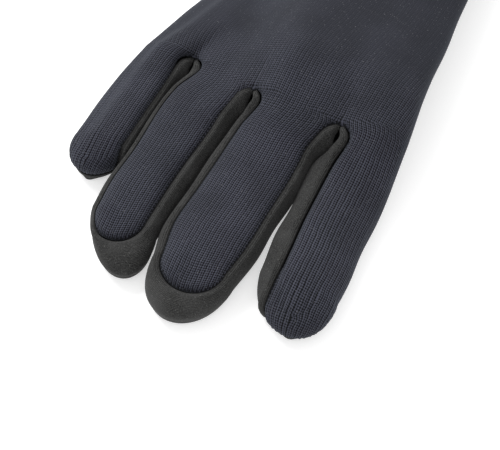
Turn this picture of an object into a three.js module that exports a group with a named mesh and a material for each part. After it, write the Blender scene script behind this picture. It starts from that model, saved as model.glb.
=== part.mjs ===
import * as THREE from 'three';

// Knitted waterproof glove for the right hand, lying with the back of the hand up.
// Millimetres, +Z up, fingers towards -Y, index finger towards +X, underside on z = 0.
// While the glove is laid out, y = 0 runs across the finger roots and x = 0 along the middle
// of the hand. The finished group is moved so that the middle of its footprint is the origin.
//
// The glove is one net of four-sided patches, with a section of points for each row. Each patch
// belongs to one panel, and each panel becomes a closed wall of cloth that keeps a small gap to
// its neighbours along the seams.

// Cloth
const WALL = 2.3;
const HEM_WALL = 3;
const HEM_PROUD = 0.4;
const SEAM_GAP = 0.32;
const INNER_SEAM_GAP = 1.6;

// Cloth that would reach below the surface under the glove is flattened on it
const SURFACE_Z = 0;

// Sections: each of the four edges of a finger's or thumb's section has this many patches
const EDGE_PATCHES = 4;
const SIDE_BULGE = [0, 0.8, 1, 0.82, 0];
const SEAM_SHARE = 0.82;
const LOW_SEAM_Z = 1.3;
const LOW_INSET = 3;
const CROWN_BLUNTNESS = 0.6;
const FLAT = 0;

// The palm lies on the folded thumb, which lifts the index side of the hand
const LIFT = { height: 12, fromX: -22, toX: 8, fromY: -34, toY: 14, backFromY: 98, backToY: 134 };

// Points where two fingers part: round end of the opening in the back panel
const CROTCHES = [
  { x: -30.2, y: 4.2, seamZ: 13.6, halfGap: 4 },
  { x: -2.8, y: -5.4, seamZ: 15.4, halfGap: 4 },
  { x: 30.4, y: -8.4, seamZ: 15.4, halfGap: 4.2 },
];
const SLOT_HALF_GAP = 0.35;
const SLOT_BLEND = 11;
const CROTCH_LEAN = 2.4;
const ROOT_BLEND = 30;

// Fingers: outline and height from the root to the start of the round tip
const FINGERS = [
  {
    name: 'little',
    inset: { left: 5, right: 1 },
    outerRootY: 5,
    rows: [
      { y: 4, left: -50.6, right: -32.6, height: 17 },
      { y: -10, left: -53.2, right: -33, height: 15.2 },
      { y: -24, left: -54, right: -33.5, height: 14.4 },
      { y: -39, left: -54, right: -33.8, height: 14 },
    ],
    tip: { outlineY: -51.3, seamY: -48.6, lowY: -49.7, shift: -0.5, seamShift: 0.2, height: 13 },
  },
  {
    name: 'ring',
    inset: { left: 1.2, right: 3.8 },
    rows: [
      { y: 2, left: -29, right: -5.6, height: 18.4 },
      { y: -14, left: -32.6, right: -6.2, height: 16 },
      { y: -40, left: -32.9, right: -8.6, height: 15.2 },
      { y: -54, left: -33.6, right: -9.1, height: 15 },
      { y: -65, left: -32.8, right: -9.2, height: 15 },
    ],
    tip: { outlineY: -82.9, seamY: -74.8, lowY: -80.5, shift: 4.4, seamShift: -1.4, height: 13.6 },
  },
  {
    name: 'middle',
    inset: { left: 3.3, right: 2.6 },
    rows: [
      { y: -1, left: -2, right: 24.8, height: 19 },
      { y: -14, left: -5.4, right: 25.4, height: 16.6 },
      { y: -44, left: -8, right: 24.2, height: 15.6 },
      { y: -62, left: -8.9, right: 23.1, height: 15.2 },
      { y: -72, left: -7.1, right: 21.6, height: 15 },
    ],
    tip: { outlineY: -90.2, seamY: -82.4, lowY: -88.2, shift: -0.6, seamShift: 0.4, height: 13.8 },
  },
  {
    name: 'index',
    inset: { left: 6.9, right: 5.5 },
    outerRootY: -3,
    rows: [
      { y: -3, left: 29.5, right: 53, height: 18 },
      { y: -16, left: 26.1, right: 53.6, height: 16 },
      { y: -40, left: 25, right: 53.2, height: 15.2 },
      { y: -54, left: 25.8, right: 54, height: 15 },
      { y: -63, left: 26.3, right: 53.6, height: 14.8 },
    ],
    tip: { outlineY: -80.5, seamY: -75.8, lowY: -78.1, shift: 3.2, seamShift: 2.8, height: 13 },
  },
];
const ROOT_DEPTHS = [0, 1.4, 3.6, 7.5, 14];
const ROW_SPACING = 13;
const TIP_ANGLES = [24, 44, 60, 75, 90];
const WRAP_FROM_ANGLE = 44;

// Hand: from the edge of the cuff to the knuckles
const HAND_ROWS = [
  { y: 168, left: -37.6, right: 51, height: 22 },
  { y: 152, left: -35.8, right: 49.2, height: 20.4 },
  { y: 136, left: -33.4, right: 47, height: 18.8 },
  { y: 121, left: -31.4, right: 45.4, height: 17.6 },
  { y: 109, left: -31.6, right: 45.8, height: 17.2 },
  { y: 98, left: -32.8, right: 46.6, height: 17 },
  { y: 88, left: -34.4, right: 47.6, height: 17 },
  { y: 78, left: -36.4, right: 48.2, height: 17 },
  { y: 68, left: -38.4, right: 49, height: 17 },
  { y: 58, left: -38.6, right: 49.7, height: 17.1 },
  { y: 46, left: -40, right: 50.4, height: 17.5 },
  { y: 34, left: -42, right: 50.8, height: 18.2 },
  { y: 24, left: -44.8, right: 51, height: 18.8 },
  { y: 14, left: -47.4, right: 51.3, height: 19 },
];
const HAND_INSET = 8;
const HAND_BLUNTNESS = 0.45;
const WRIST_Y = 121;
const HEM_FROM_Y = 152;

// Thumb: it leaves the palm through an opening and lies folded forward under the palm.
// Each row has the middle of its upper edge and of its lower edge.
const THUMB_OPENING = { fromColumn: 10, toColumn: 14, fromY: 58, toY: 98 };
const THUMB_INSET = 4;
const THUMB_ROWS = [
  { topY: 55.4, topZ: 10.3, lowY: 98.6, lowZ: 6.5, x: 25, halfWidth: 12.6 },
  { topY: 51, topZ: 11, lowY: 92, lowZ: 1, x: 25.4, halfWidth: 13.4 },
  { topY: 45, topZ: 11.3, lowY: 72, lowZ: 0, x: 25.4, halfWidth: 13.6 },
  { topY: 37, topZ: 11.4, lowY: 52, lowZ: 0, x: 24.8, halfWidth: 13.2 },
  { topY: 28, topZ: 11.4, lowY: 35, lowZ: 0, x: 23.6, halfWidth: 12.8 },
  { topY: 20, topZ: 11.2, lowY: 21, lowZ: 0, x: 22.4, halfWidth: 12.4 },
  { topY: 15, topZ: 10.8, lowY: 15, lowZ: 0, x: 21.6, halfWidth: 12 },
];
const THUMB_TIP = { outlineY: 2.5, seamY: 8, lowY: 6.5, shift: -0.5, seamZ: 7.6 };

const COLOURS = { navy: 0x20222e, black: 0x1b1b1d };

function mix(a, b, t) {
  return a + (b - a) * t;
}

function smooth(t) {
  const s = Math.min(1, Math.max(0, t));
  return s * s * (3 - 2 * s);
}

// Value of a table's named column at y, straight between its rows, which run towards -Y
function lookUp(rows, column, y) {
  const next = rows.findIndex((row) => row.y <= y);
  if (next === 0) return rows[0][column];
  if (next < 0) return rows[rows.length - 1][column];
  const [a, b] = [rows[next - 1], rows[next]];
  return mix(a[column], b[column], (y - a.y) / (b.y - a.y));
}

// Height of the glove's underside above the surface
function liftAt(x, y) {
  const across = smooth((x - LIFT.fromX) / (LIFT.toX - LIFT.fromX));
  const front = smooth((y - LIFT.fromY) / (LIFT.toY - LIFT.fromY));
  const back = 1 - smooth((y - LIFT.backFromY) / (LIFT.backToY - LIFT.backFromY));
  return LIFT.height * across * front * back;
}

// Half the width of a U-shaped opening at a depth below its round end
function openingHalf(depth, halfGap) {
  const reach = 1 - Math.min(1, depth / halfGap);
  return halfGap * Math.sqrt(1 - reach * reach);
}

// One side of a section, from the top seam round the widest point to the low seam
function sideEdge(seam, widest, low) {
  return SIDE_BULGE.map((out, k) => {
    const point = seam.clone().lerp(low, k / EDGE_PATCHES);
    point.x = mix(point.x, widest.x, out);
    point.y = mix(point.y, widest.y, out);
    return point;
  });
}

// Top or bottom of a section, from left to right, drawn towards the height that heightAt gives
function crossEdge(from, to, shares, heightAt, bluntness) {
  return shares.map((share) => {
    const point = from.clone().lerp(to, share);
    const rise = 4 * share * (1 - share);
    if (rise > 0) point.z = mix(point.z, heightAt(point), rise ** bluntness);
    return point;
  });
}

const EVEN_SHARES = Array.from({ length: EDGE_PATCHES + 1 }, (_, k) => k / EDGE_PATCHES);

// A closed section: top, right side, bottom from right to left, left side from the bottom up
function joinSection(top, right, bottom, left) {
  return [
    ...top,
    ...right.slice(1),
    ...bottom.slice(0, -1).reverse(),
    ...left.slice(1, -1).reverse(),
  ];
}

function underside(point) {
  return liftAt(point.x, point.y);
}

function closedSection(left, right, crownAt, floorAt, shares, bluntness) {
  const top = crossEdge(left[0], right[0], shares, crownAt, bluntness);
  const bottom = crossEdge(left[EDGE_PATCHES], right[EDGE_PATCHES], shares, floorAt, FLAT);
  return { top, right, bottom, left, ring: joinSection(top, right, bottom, left) };
}

// Side of a finger at y, which is depth below the finger's own crotch on that side
function fingerSide(finger, crotch, side, y, depth) {
  const out = side === 'left' ? -1 : 1;
  const away = crotch ? smooth(depth / SLOT_BLEND) : 1;
  const outline = lookUp(finger.rows, side, y);
  const widest = new THREE.Vector3(outline, y, 0);
  const seam = new THREE.Vector3(outline - out * finger.inset[side], y, 0);
  const low = new THREE.Vector3(outline - out * LOW_INSET, y, 0);
  seam.z = liftAt(outline, y) + SEAM_SHARE * lookUp(finger.rows, 'height', y);
  if (crotch) {
    const slotX = crotch.x - out * Math.min(depth, 1) * SLOT_HALF_GAP;
    widest.x = mix(slotX, widest.x, away);
    widest.y -= CROTCH_LEAN * (1 - away);
    seam.x = mix(crotch.x - out * openingHalf(depth, crotch.halfGap), seam.x, away);
    seam.z = mix(crotch.seamZ + liftAt(crotch.x, y), seam.z, away);
    low.x = mix(crotch.x - out * openingHalf(depth, LOW_INSET), low.x, away);
  }
  low.z = LOW_SEAM_Z + liftAt(low.x, y);
  return sideEdge(seam, widest, low);
}

// Sections of a round tip, which close in on one upright line of points
function tipSections(start, apex, crownAt, floorAt) {
  return TIP_ANGLES.map((degrees) => {
    const angle = THREE.MathUtils.degToRad(degrees);
    const forward = Math.sin(angle);
    const across = degrees < 90 ? Math.cos(angle) : 0;
    const sideAt = (side) => side.map((point, k) => {
      const middle = start.left[k].clone().lerp(start.right[k], 0.5);
      const half = point.clone().sub(middle).multiplyScalar(across);
      return middle.lerp(apex[k], forward).add(half);
    });
    const crown = (point) => mix(crownAt(point), point.z, forward);
    const [left, right] = [sideAt(start.left), sideAt(start.right)];
    return closedSection(left, right, crown, floorAt, EVEN_SHARES, CROWN_BLUNTNESS);
  });
}

function fingerSections(finger, index) {
  const crotch = { left: CROTCHES[index - 1], right: CROTCHES[index] };
  const rootY = {
    left: crotch.left ? crotch.left.y : finger.outerRootY,
    right: crotch.right ? crotch.right.y : finger.outerRootY,
  };
  const lowestRoot = Math.min(rootY.left, rootY.right);
  const tipY = finger.rows[finger.rows.length - 1].y;
  const straight = lowestRoot - tipY - ROOT_DEPTHS[ROOT_DEPTHS.length - 1];
  const steps = Math.round(straight / ROW_SPACING);
  const depths = [...ROOT_DEPTHS];
  for (let i = 1; i <= steps; i++) depths.push(lowestRoot - tipY - straight * (1 - i / steps));

  const sections = depths.map((depth) => {
    const sideAt = (side) => {
      const y = mix(rootY[side], lowestRoot, smooth(depth / ROOT_BLEND)) - depth;
      return fingerSide(finger, crotch[side], side, y, depth);
    };
    const height = lookUp(finger.rows, 'height', lowestRoot - depth);
    const crownAt = (point) => liftAt(point.x, point.y) + height;
    const [left, right] = [sideAt('left'), sideAt('right')];
    return closedSection(left, right, crownAt, underside, EVEN_SHARES, CROWN_BLUNTNESS);
  });

  const start = sections[sections.length - 1];
  const middleX = (start.left[2].x + start.right[2].x) / 2;
  const tipX = middleX + finger.tip.shift;
  const apex = sideEdge(
    new THREE.Vector3(middleX + finger.tip.seamShift, finger.tip.seamY, SEAM_SHARE * finger.tip.height),
    new THREE.Vector3(tipX, finger.tip.outlineY, 0),
    new THREE.Vector3(tipX, finger.tip.lowY, LOW_SEAM_Z),
  );
  const tipCrown = () => lookUp(finger.rows, 'height', tipY);
  return { sections, tips: tipSections(start, apex, tipCrown, underside) };
}

// The net: patches of four points, each with the name of its panel
const patches = [];

function addRows(rings, panelAt) {
  for (let row = 0; row + 1 < rings.length; row++) {
    const columns = rings[row].length;
    for (let column = 0; column < columns; column++) {
      const next = (column + 1) % columns;
      const corners = [
        rings[row][column],
        rings[row + 1][column],
        rings[row + 1][next],
        rings[row][next],
      ];
      const panel = panelAt(row, column);
      if (panel) patches.push({ panel, corners });
    }
  }
}

// Names of a section's edges, in the order of its columns
function edgeOf(column) {
  return ['top', 'right', 'bottom', 'left'][Math.floor(column / EDGE_PATCHES)];
}

const fingers = FINGERS.map((finger, index) => ({ finger, ...fingerSections(finger, index) }));

fingers.forEach(({ finger, sections, tips }, index) => {
  const outerSide = { 0: 'left', 3: 'right' }[index];
  const wrapRow = sections.length - 1 + TIP_ANGLES.indexOf(WRAP_FROM_ANGLE);
  const rings = [...sections, ...tips].map((section) => section.ring);
  addRows(rings, (row, column) => {
    const edge = edgeOf(column);
    if (edge === 'bottom') return 'palm_panel';
    const wraps = outerSide && (edge === outerSide || row > wrapRow);
    if (edge === 'top' || wraps) return 'back_panel';
    return `${finger.name}_sidewall`;
  });
});

// Hand rows use the columns of the finger roots, which even out towards the wrist
const roots = fingers.map(({ sections }) => sections[0]);
const joinRoots = (edge) => roots.flatMap((root, i) => (i ? root[edge].slice(1) : root[edge]));
const rootTop = joinRoots('top');
const rootBottom = joinRoots('bottom');
const HAND_COLUMNS = rootTop.length - 1;

function handSection(row) {
  const outline = (side) => {
    const out = side === 'left' ? -1 : 1;
    const widest = new THREE.Vector3(row[side], row.y, 0);
    const seam = new THREE.Vector3(row[side] - out * HAND_INSET, row.y, 0);
    const low = new THREE.Vector3(row[side] - out * LOW_INSET, row.y, 0);
    seam.z = liftAt(row[side], row.y) + SEAM_SHARE * row.height;
    low.z = liftAt(row[side], row.y) + LOW_SEAM_Z;
    return sideEdge(seam, widest, low);
  };
  const even = smooth(row.y / WRIST_Y);
  const shares = rootTop.map((point, column) => {
    const root = (point.x - rootTop[0].x) / (rootTop[HAND_COLUMNS].x - rootTop[0].x);
    return mix(root, column / HAND_COLUMNS, even);
  });
  const crownAt = (point) => liftAt(point.x, point.y) + row.height;
  const [left, right] = [outline('left'), outline('right')];
  return closedSection(left, right, crownAt, underside, shares, HAND_BLUNTNESS);
}

const handSections = HAND_ROWS.map(handSection);
const rootRing = joinSection(rootTop, roots[roots.length - 1].right, rootBottom, roots[0].left);
const bottomStart = HAND_COLUMNS + EDGE_PATCHES;

addRows([...handSections.map((section) => section.ring), rootRing], (row, column) => {
  const fromY = HAND_ROWS[row].y;
  if (fromY > HEM_FROM_Y) return 'cuff_band';
  const across = bottomStart + HAND_COLUMNS - 1 - column;
  if (across < 0 || across >= HAND_COLUMNS) return 'back_panel';
  const besideThumb = across < THUMB_OPENING.fromColumn || across >= THUMB_OPENING.toColumn;
  const inOpening = fromY > THUMB_OPENING.fromY && fromY <= THUMB_OPENING.toY;
  return inOpening && !besideThumb ? null : 'palm_panel';
});

// Thumb: its first section is the edge of the opening in the palm
function thumbSection(row) {
  const outline = (out) => {
    const x = row.x + out * (row.halfWidth - THUMB_INSET);
    const seam = new THREE.Vector3(x, row.topY, row.topZ);
    const low = new THREE.Vector3(x, row.lowY, row.lowZ);
    return SIDE_BULGE.map((bulge, k) => {
      const point = seam.clone().lerp(low, k / EDGE_PATCHES);
      return point.setX(x + out * THUMB_INSET * bulge);
    });
  };
  return closedSection(outline(-1), outline(1), () => row.topZ, () => row.lowZ, EVEN_SHARES, FLAT);
}

const openingRows = handSections.filter(
  (_, i) => HAND_ROWS[i].y >= THUMB_OPENING.fromY && HAND_ROWS[i].y <= THUMB_OPENING.toY,
);
openingRows.reverse();
const openingEdge = (section) => section.bottom.slice(THUMB_OPENING.fromColumn, THUMB_OPENING.toColumn + 1);
const openingRing = joinSection(
  openingEdge(openingRows[0]),
  openingRows.map((section) => section.bottom[THUMB_OPENING.toColumn]),
  openingEdge(openingRows[openingRows.length - 1]),
  openingRows.map((section) => section.bottom[THUMB_OPENING.fromColumn]),
);
const thumbSections = THUMB_ROWS.map(thumbSection);
const thumbStart = thumbSections[thumbSections.length - 1];
const thumbTipX = THUMB_ROWS[THUMB_ROWS.length - 1].x + THUMB_TIP.shift;
const thumbApex = sideEdge(
  new THREE.Vector3(thumbTipX, THUMB_TIP.seamY, THUMB_TIP.seamZ),
  new THREE.Vector3(thumbTipX, THUMB_TIP.outlineY, 0),
  new THREE.Vector3(thumbTipX, THUMB_TIP.lowY, LOW_SEAM_Z),
);
const onFloor = () => 0;
const thumbTips = tipSections(thumbStart, thumbApex, (point) => point.z, onFloor);
addRows(
  [openingRing, ...[...thumbSections, ...thumbTips].map((section) => section.ring)],
  () => 'thumb',
);

// Walls of cloth
function keyOf(point) {
  return point.toArray().map((value) => value.toFixed(3)).join(',');
}

function patchNormal(corners) {
  const [a, b, c, d] = corners;
  return new THREE.Vector3().crossVectors(c.clone().sub(a), d.clone().sub(b));
}

// Outward direction at every point of the net, shared by all the panels that meet there
const outward = new Map();
for (const { corners } of patches) {
  const normal = patchNormal(corners);
  for (const key of new Set(corners.map(keyOf))) {
    const sum = outward.get(key) ?? new THREE.Vector3();
    outward.set(key, sum.add(normal));
  }
}
for (const direction of outward.values()) direction.normalize();

// Corners of a patch without the repeated points that a round tip leaves
function distinctCorners(corners) {
  return corners.filter((corner, i) => keyOf(corner) !== keyOf(corners[(i + 1) % corners.length]));
}

// Steps that draw a panel's edge points back from the seams, for a gap of 1 mm
function seamSteps(faces) {
  const directed = new Set();
  for (const { keys } of faces) {
    keys.forEach((key, i) => directed.add(`${key}|${keys[(i + 1) % keys.length]}`));
  }
  const inward = new Map();
  const edges = [];
  for (const { keys, corners } of faces) {
    const normal = patchNormal(corners).normalize();
    keys.forEach((key, i) => {
      const nextKey = keys[(i + 1) % keys.length];
      if (directed.has(`${nextKey}|${key}`)) return;
      edges.push([key, nextKey]);
      const start = corners[corners.findIndex((corner) => keyOf(corner) === key)];
      const end = corners[corners.findIndex((corner) => keyOf(corner) === nextKey)];
      const across = normal.clone().cross(end.clone().sub(start)).normalize();
      for (const edgeKey of [key, nextKey]) {
        inward.set(edgeKey, [...(inward.get(edgeKey) ?? []), across]);
      }
    });
  }
  const steps = new Map();
  for (const [key, directions] of inward) {
    const sum = directions.reduce((total, each) => total.add(each), new THREE.Vector3());
    const unit = sum.clone().normalize();
    const spread = Math.max(0.5, unit.dot(directions[0]));
    steps.set(key, unit.divideScalar(2 * spread));
  }
  return { steps, edges };
}

function clothGeometry(panel, wall, proud) {
  const faces = patches.filter((patch) => patch.panel === panel).map((patch) => {
    const corners = distinctCorners(patch.corners);
    return { corners: patch.corners, keys: corners.map(keyOf) };
  });
  const { steps, edges } = seamSteps(faces);
  const points = new Map();
  for (const { corners } of faces) {
    for (const corner of corners) points.set(keyOf(corner), corner);
  }
  const positions = [];
  const numberOf = new Map();
  const count = points.size;
  const addSurface = (outwards, gap) => {
    for (const [key, point] of points) {
      const placed = point.clone().addScaledVector(outward.get(key), outwards);
      if (steps.has(key)) placed.addScaledVector(steps.get(key), gap);
      placed.z = Math.max(placed.z, SURFACE_Z);
      positions.push(...placed.toArray());
    }
  };
  [...points.keys()].forEach((key, i) => numberOf.set(key, i));
  addSurface(proud, SEAM_GAP);
  addSurface(proud - wall, INNER_SEAM_GAP);

  const indices = [];
  const addFace = (numbers) => {
    for (let i = 1; i + 1 < numbers.length; i++) indices.push(numbers[0], numbers[i], numbers[i + 1]);
  };
  for (const { keys } of faces) {
    const outer = keys.map((key) => numberOf.get(key));
    if (outer.length < 3) continue;
    addFace(outer);
    addFace(outer.map((number) => number + count).reverse());
  }
  for (const [from, to] of edges) {
    const [a, b] = [numberOf.get(from), numberOf.get(to)];
    addFace([b, a, a + count, b + count]);
  }
  const geometry = new THREE.BufferGeometry();
  geometry.setAttribute('position', new THREE.Float32BufferAttribute(positions, 3));
  geometry.setIndex(indices);
  geometry.computeVertexNormals();
  return geometry;
}

function clothPanel(name, colour, wall = WALL, proud = 0) {
  const material = new THREE.MeshStandardMaterial({ color: colour, roughness: 0.95, metalness: 0 });
  const mesh = new THREE.Mesh(clothGeometry(name, wall, proud), material);
  mesh.name = name;
  return mesh;
}

const group = new THREE.Group();
group.add(clothPanel('back_panel', COLOURS.navy));
group.add(clothPanel('palm_panel', COLOURS.black));
for (const { name } of FINGERS) group.add(clothPanel(`${name}_sidewall`, COLOURS.black));
group.add(clothPanel('thumb', COLOURS.black));
group.add(clothPanel('cuff_band', COLOURS.black, HEM_WALL, HEM_PROUD));

const footprint = new THREE.Box3().setFromObject(group);
const middle = footprint.getCenter(new THREE.Vector3());
group.position.set(-middle.x, -middle.y, -footprint.min.z);

export default group;
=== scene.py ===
"""Looks of a knitted waterproof glove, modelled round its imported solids.

Lengths in the tables are millimetres in the glove's layout: y = 0 runs across the finger roots,
fingers point along -y, the index finger lies towards +x and the glove rests on z = 0. Finished
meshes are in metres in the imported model's own frame.
"""

import logging
import math
from dataclasses import dataclass, field, replace
from enum import Enum
from typing import Callable, ClassVar, Optional, Sequence, Union

import bpy
import numpy as np
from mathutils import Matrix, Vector
from mathutils.kdtree import KDTree


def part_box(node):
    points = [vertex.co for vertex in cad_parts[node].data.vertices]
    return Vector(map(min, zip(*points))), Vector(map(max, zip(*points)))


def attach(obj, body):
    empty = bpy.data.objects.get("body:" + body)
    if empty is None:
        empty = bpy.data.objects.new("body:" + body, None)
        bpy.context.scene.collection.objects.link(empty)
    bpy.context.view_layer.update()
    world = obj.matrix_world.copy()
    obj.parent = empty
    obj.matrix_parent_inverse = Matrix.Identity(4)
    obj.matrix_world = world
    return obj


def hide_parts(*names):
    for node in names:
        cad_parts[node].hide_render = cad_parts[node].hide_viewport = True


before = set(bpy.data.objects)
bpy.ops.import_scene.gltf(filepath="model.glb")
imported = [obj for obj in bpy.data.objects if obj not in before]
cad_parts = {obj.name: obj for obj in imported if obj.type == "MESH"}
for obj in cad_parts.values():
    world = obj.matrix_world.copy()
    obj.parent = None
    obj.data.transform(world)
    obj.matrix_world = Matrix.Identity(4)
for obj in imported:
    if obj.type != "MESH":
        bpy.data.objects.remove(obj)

LOG = logging.getLogger("glove")
MM = 0.001
KNIT = "knit"
SEAM = "seam"
EDGE_NAMES = ("top", "right", "bottom", "left")
Values = Union[float, np.ndarray]
Feed = Union[bpy.types.NodeSocket, float, tuple]


class Side(Enum):
    """Side of a finger or of the hand, seen from above with the fingers pointing down."""

    LEFT = -1
    RIGHT = 1


@dataclass(frozen=True)
class Row:
    """Outline and height of a finger or of the hand at one y."""

    y: float
    left: float
    right: float
    height: float


@dataclass(frozen=True)
class Tip:
    """Round end of a finger: how far its outline, its top seam and its low seam reach."""

    outline_y: float
    seam_y: float
    low_y: float
    shift: float
    seam_shift: float
    height: float
    seam_z: Optional[float] = None


@dataclass(frozen=True)
class Crotch:
    """Point where two fingers part: round end of the opening in the back panel."""

    x: float
    y: float
    seam_z: float
    half_gap: float


@dataclass(frozen=True)
class Finger:
    """One finger: insets of its top seams from the outline, rows from root to tip, and its tip."""

    name: str
    inset_left: float
    inset_right: float
    rows: tuple[Row, ...]
    tip: Tip
    left_crotch: Optional[Crotch] = None
    right_crotch: Optional[Crotch] = None
    outer_root_y: float = 0.0
    wraps_tip: bool = False
    rib_stretch: float = 1.0
    top_columns: int = 48

    def crotch(self, side: Side) -> Optional[Crotch]:
        """Crotch on that side, or None on an outer side."""
        return self.left_crotch if side is Side.LEFT else self.right_crotch

    def inset(self, side: Side) -> float:
        """Inset of the top seam on that side."""
        return self.inset_left if side is Side.LEFT else self.inset_right

    def root_y(self, side: Side) -> float:
        """Where that side of the finger begins."""
        crotch = self.crotch(side)
        return crotch.y if crotch else self.outer_root_y


@dataclass(frozen=True)
class ThumbRow:
    """One section of the folded thumb: middle of its upper and lower edge, and its width."""

    top_y: float
    top_z: float
    low_y: float
    low_z: float
    x: float
    half_width: float


@dataclass(frozen=True)
class RubbedSpot:
    """A place on a fingertip where the black cloth is worn paler."""

    at: tuple[float, float, float]
    width: float


LITTLE_RING = Crotch(x=-30.2, y=4.2, seam_z=13.6, half_gap=4)
RING_MIDDLE = Crotch(x=-2.8, y=-5.4, seam_z=15.4, half_gap=4)
MIDDLE_INDEX = Crotch(x=30.4, y=-8.4, seam_z=15.4, half_gap=4.2)

FINGERS = (
    Finger(
        "little", 5, 1,
        rows=(
            Row(4, -50.6, -32.6, 17),
            Row(-10, -53.2, -33, 15.2),
            Row(-24, -54, -33.5, 14.4),
            Row(-39, -54, -33.8, 14),
        ),
        tip=Tip(outline_y=-51.3, seam_y=-48.6, low_y=-49.7, shift=-0.5, seam_shift=0.2, height=13),
        right_crotch=LITTLE_RING, outer_root_y=5, wraps_tip=True, top_columns=56,
    ),
    Finger(
        "ring", 1.2, 3.8,
        rows=(
            Row(2, -29, -5.6, 18.4),
            Row(-14, -32.6, -6.2, 16),
            Row(-40, -32.9, -8.6, 15.2),
            Row(-54, -33.6, -9.1, 15),
            Row(-65, -32.8, -9.2, 15),
        ),
        tip=Tip(outline_y=-82.9, seam_y=-74.8, low_y=-80.5, shift=5.4, seam_shift=-1.4, height=13.6),
        left_crotch=LITTLE_RING, right_crotch=RING_MIDDLE,
    ),
    Finger(
        "middle", 3.3, 2.6,
        rows=(
            Row(-1, -2, 24.8, 19),
            Row(-14, -5.4, 25.4, 16.6),
            Row(-44, -8, 24.2, 15.6),
            Row(-62, -8.9, 23.1, 15.2),
            Row(-72, -7.1, 21.6, 15),
        ),
        tip=Tip(outline_y=-90.2, seam_y=-82.4, low_y=-88.2, shift=-0.6, seam_shift=0.4, height=13.8),
        left_crotch=RING_MIDDLE, right_crotch=MIDDLE_INDEX,
    ),
    Finger(
        "index", 6.9, 5.5,
        rows=(
            Row(-3, 29.5, 53, 18),
            Row(-16, 26.1, 53.6, 16),
            Row(-40, 25, 53.2, 15.2),
            Row(-54, 25.8, 54, 15),
            Row(-63, 26.3, 53.6, 14.8),
        ),
        tip=Tip(outline_y=-80.5, seam_y=-75.8, low_y=-78.1, shift=3.2, seam_shift=2.8, height=13),
        left_crotch=MIDDLE_INDEX, outer_root_y=-3, wraps_tip=True, rib_stretch=1.25,
        top_columns=64,
    ),
)

HAND_ROWS = (
    Row(168, -37.6, 51, 22),
    Row(152, -35.8, 49.2, 20.4),
    Row(136, -33.4, 47, 18.8),
    Row(121, -31.4, 45.4, 17.6),
    Row(109, -31.6, 45.8, 17.2),
    Row(98, -32.8, 46.6, 17),
    Row(88, -34.4, 47.6, 17),
    Row(78, -36.4, 48.2, 17),
    Row(68, -38.4, 49, 17),
    Row(58, -38.6, 49.7, 17.1),
    Row(46, -40, 50.4, 17.5),
    Row(34, -42, 50.8, 18.2),
    Row(24, -44.8, 51, 18.8),
    Row(14, -47.4, 51.3, 19),
    Row(0, -50.4, 52.7, 18.8),
)

THUMB_ROWS = (
    ThumbRow(55.4, 10.3, 98.6, 6.5, 25, 12.6),
    ThumbRow(51, 11, 92, 1, 25.4, 13.4),
    ThumbRow(45, 11.3, 72, 0, 25.4, 13.6),
    ThumbRow(37, 11.4, 52, 0, 24.8, 13.2),
    ThumbRow(28, 11.4, 35, 0, 23.6, 12.8),
    ThumbRow(20, 11.2, 21, 0, 22.4, 12.4),
    ThumbRow(15, 10.8, 15, 0, 21.6, 12),
)
THUMB_TIP = Tip(
    outline_y=2.5, seam_y=8, low_y=6.5, shift=-0.5, seam_shift=-0.5, height=0, seam_z=7.6,
)

RUBBED_SPOTS = (
    RubbedSpot(at=(2.0, -88.0, 6.0), width=5.0),
    RubbedSpot(at=(-30.0, -70.0, 8.0), width=4.0),
)

EDGE_PATCHES = 4
EVEN_SHARES = np.arange(EDGE_PATCHES + 1) / EDGE_PATCHES
SIDE_BULGE = np.array([0, 0.8, 1, 0.82, 0])


def mix(a: Values, b: Values, t: Values) -> Values:
    """Value between a and b at share t, for numbers and arrays."""
    return a + (b - a) * t


def smooth(t: Values) -> Values:
    """Share t eased in and out, and held between 0 and 1."""
    held = np.clip(t, 0, 1)
    return held * held * (3 - 2 * held)


def bell(distance: Values, width: float) -> Values:
    """Round hump of height 1 at distance 0, about width wide to each side."""
    return np.exp(-((distance / width) ** 2))


def column(values: np.ndarray) -> np.ndarray:
    """Values as a column, so that they scale rows of points."""
    return np.asarray(values, dtype=float)[:, None]


def look_up(rows: Sequence[Row], name: str, y: np.ndarray) -> np.ndarray:
    """Reads a table's named column along a smooth curve through its rows.

    Args:
        rows: Table rows, from high y to low y.
        name: Name of the column.
        y: Where to read it.

    Returns:
        One value for each y; beyond the last rows the curve runs on straight.
    """
    ys = np.array([row.y for row in rows], dtype=float)[::-1]
    values = np.array([getattr(row, name) for row in rows], dtype=float)[::-1]
    steps = np.diff(ys)
    slopes = np.diff(values) / steps
    inner = (slopes[:-1] * steps[1:] + slopes[1:] * steps[:-1]) / (steps[1:] + steps[:-1])
    tangents = np.concatenate([[slopes[0]], inner, [slopes[-1]]])
    y = np.asarray(y, dtype=float)
    inside = np.clip(y, ys[0], ys[-1])
    i = np.clip(np.searchsorted(ys, inside, side="right") - 1, 0, len(steps) - 1)
    t = (inside - ys[i]) / steps[i]
    curve = hermite(values[i], values[i + 1], tangents[i] * steps[i], tangents[i + 1] * steps[i], t)
    end_slope = np.where(y < ys[0], tangents[0], tangents[-1])
    return curve + end_slope * (y - inside)


def hermite(a: Values, b: Values, slope_a: Values, slope_b: Values, t: Values) -> Values:
    """Cubic from a to b that leaves and arrives with the given slopes."""
    t2, t3 = t * t, t * t * t
    return (
        a * (2 * t3 - 3 * t2 + 1)
        + b * (3 * t2 - 2 * t3)
        + slope_a * (t3 - 2 * t2 + t)
        + slope_b * (t3 - t2)
    )


@dataclass(frozen=True)
class Section:
    """Control points of many sections: arrays of rows x points x 3 for the four edges."""

    top: np.ndarray
    right: np.ndarray
    bottom: np.ndarray
    left: np.ndarray

    def joined(self, other: "Section") -> "Section":
        """These rows followed by the other's."""
        pairs = [(getattr(self, name), getattr(other, name)) for name in EDGE_NAMES]
        return Section(*(np.concatenate(pair) for pair in pairs))


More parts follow.
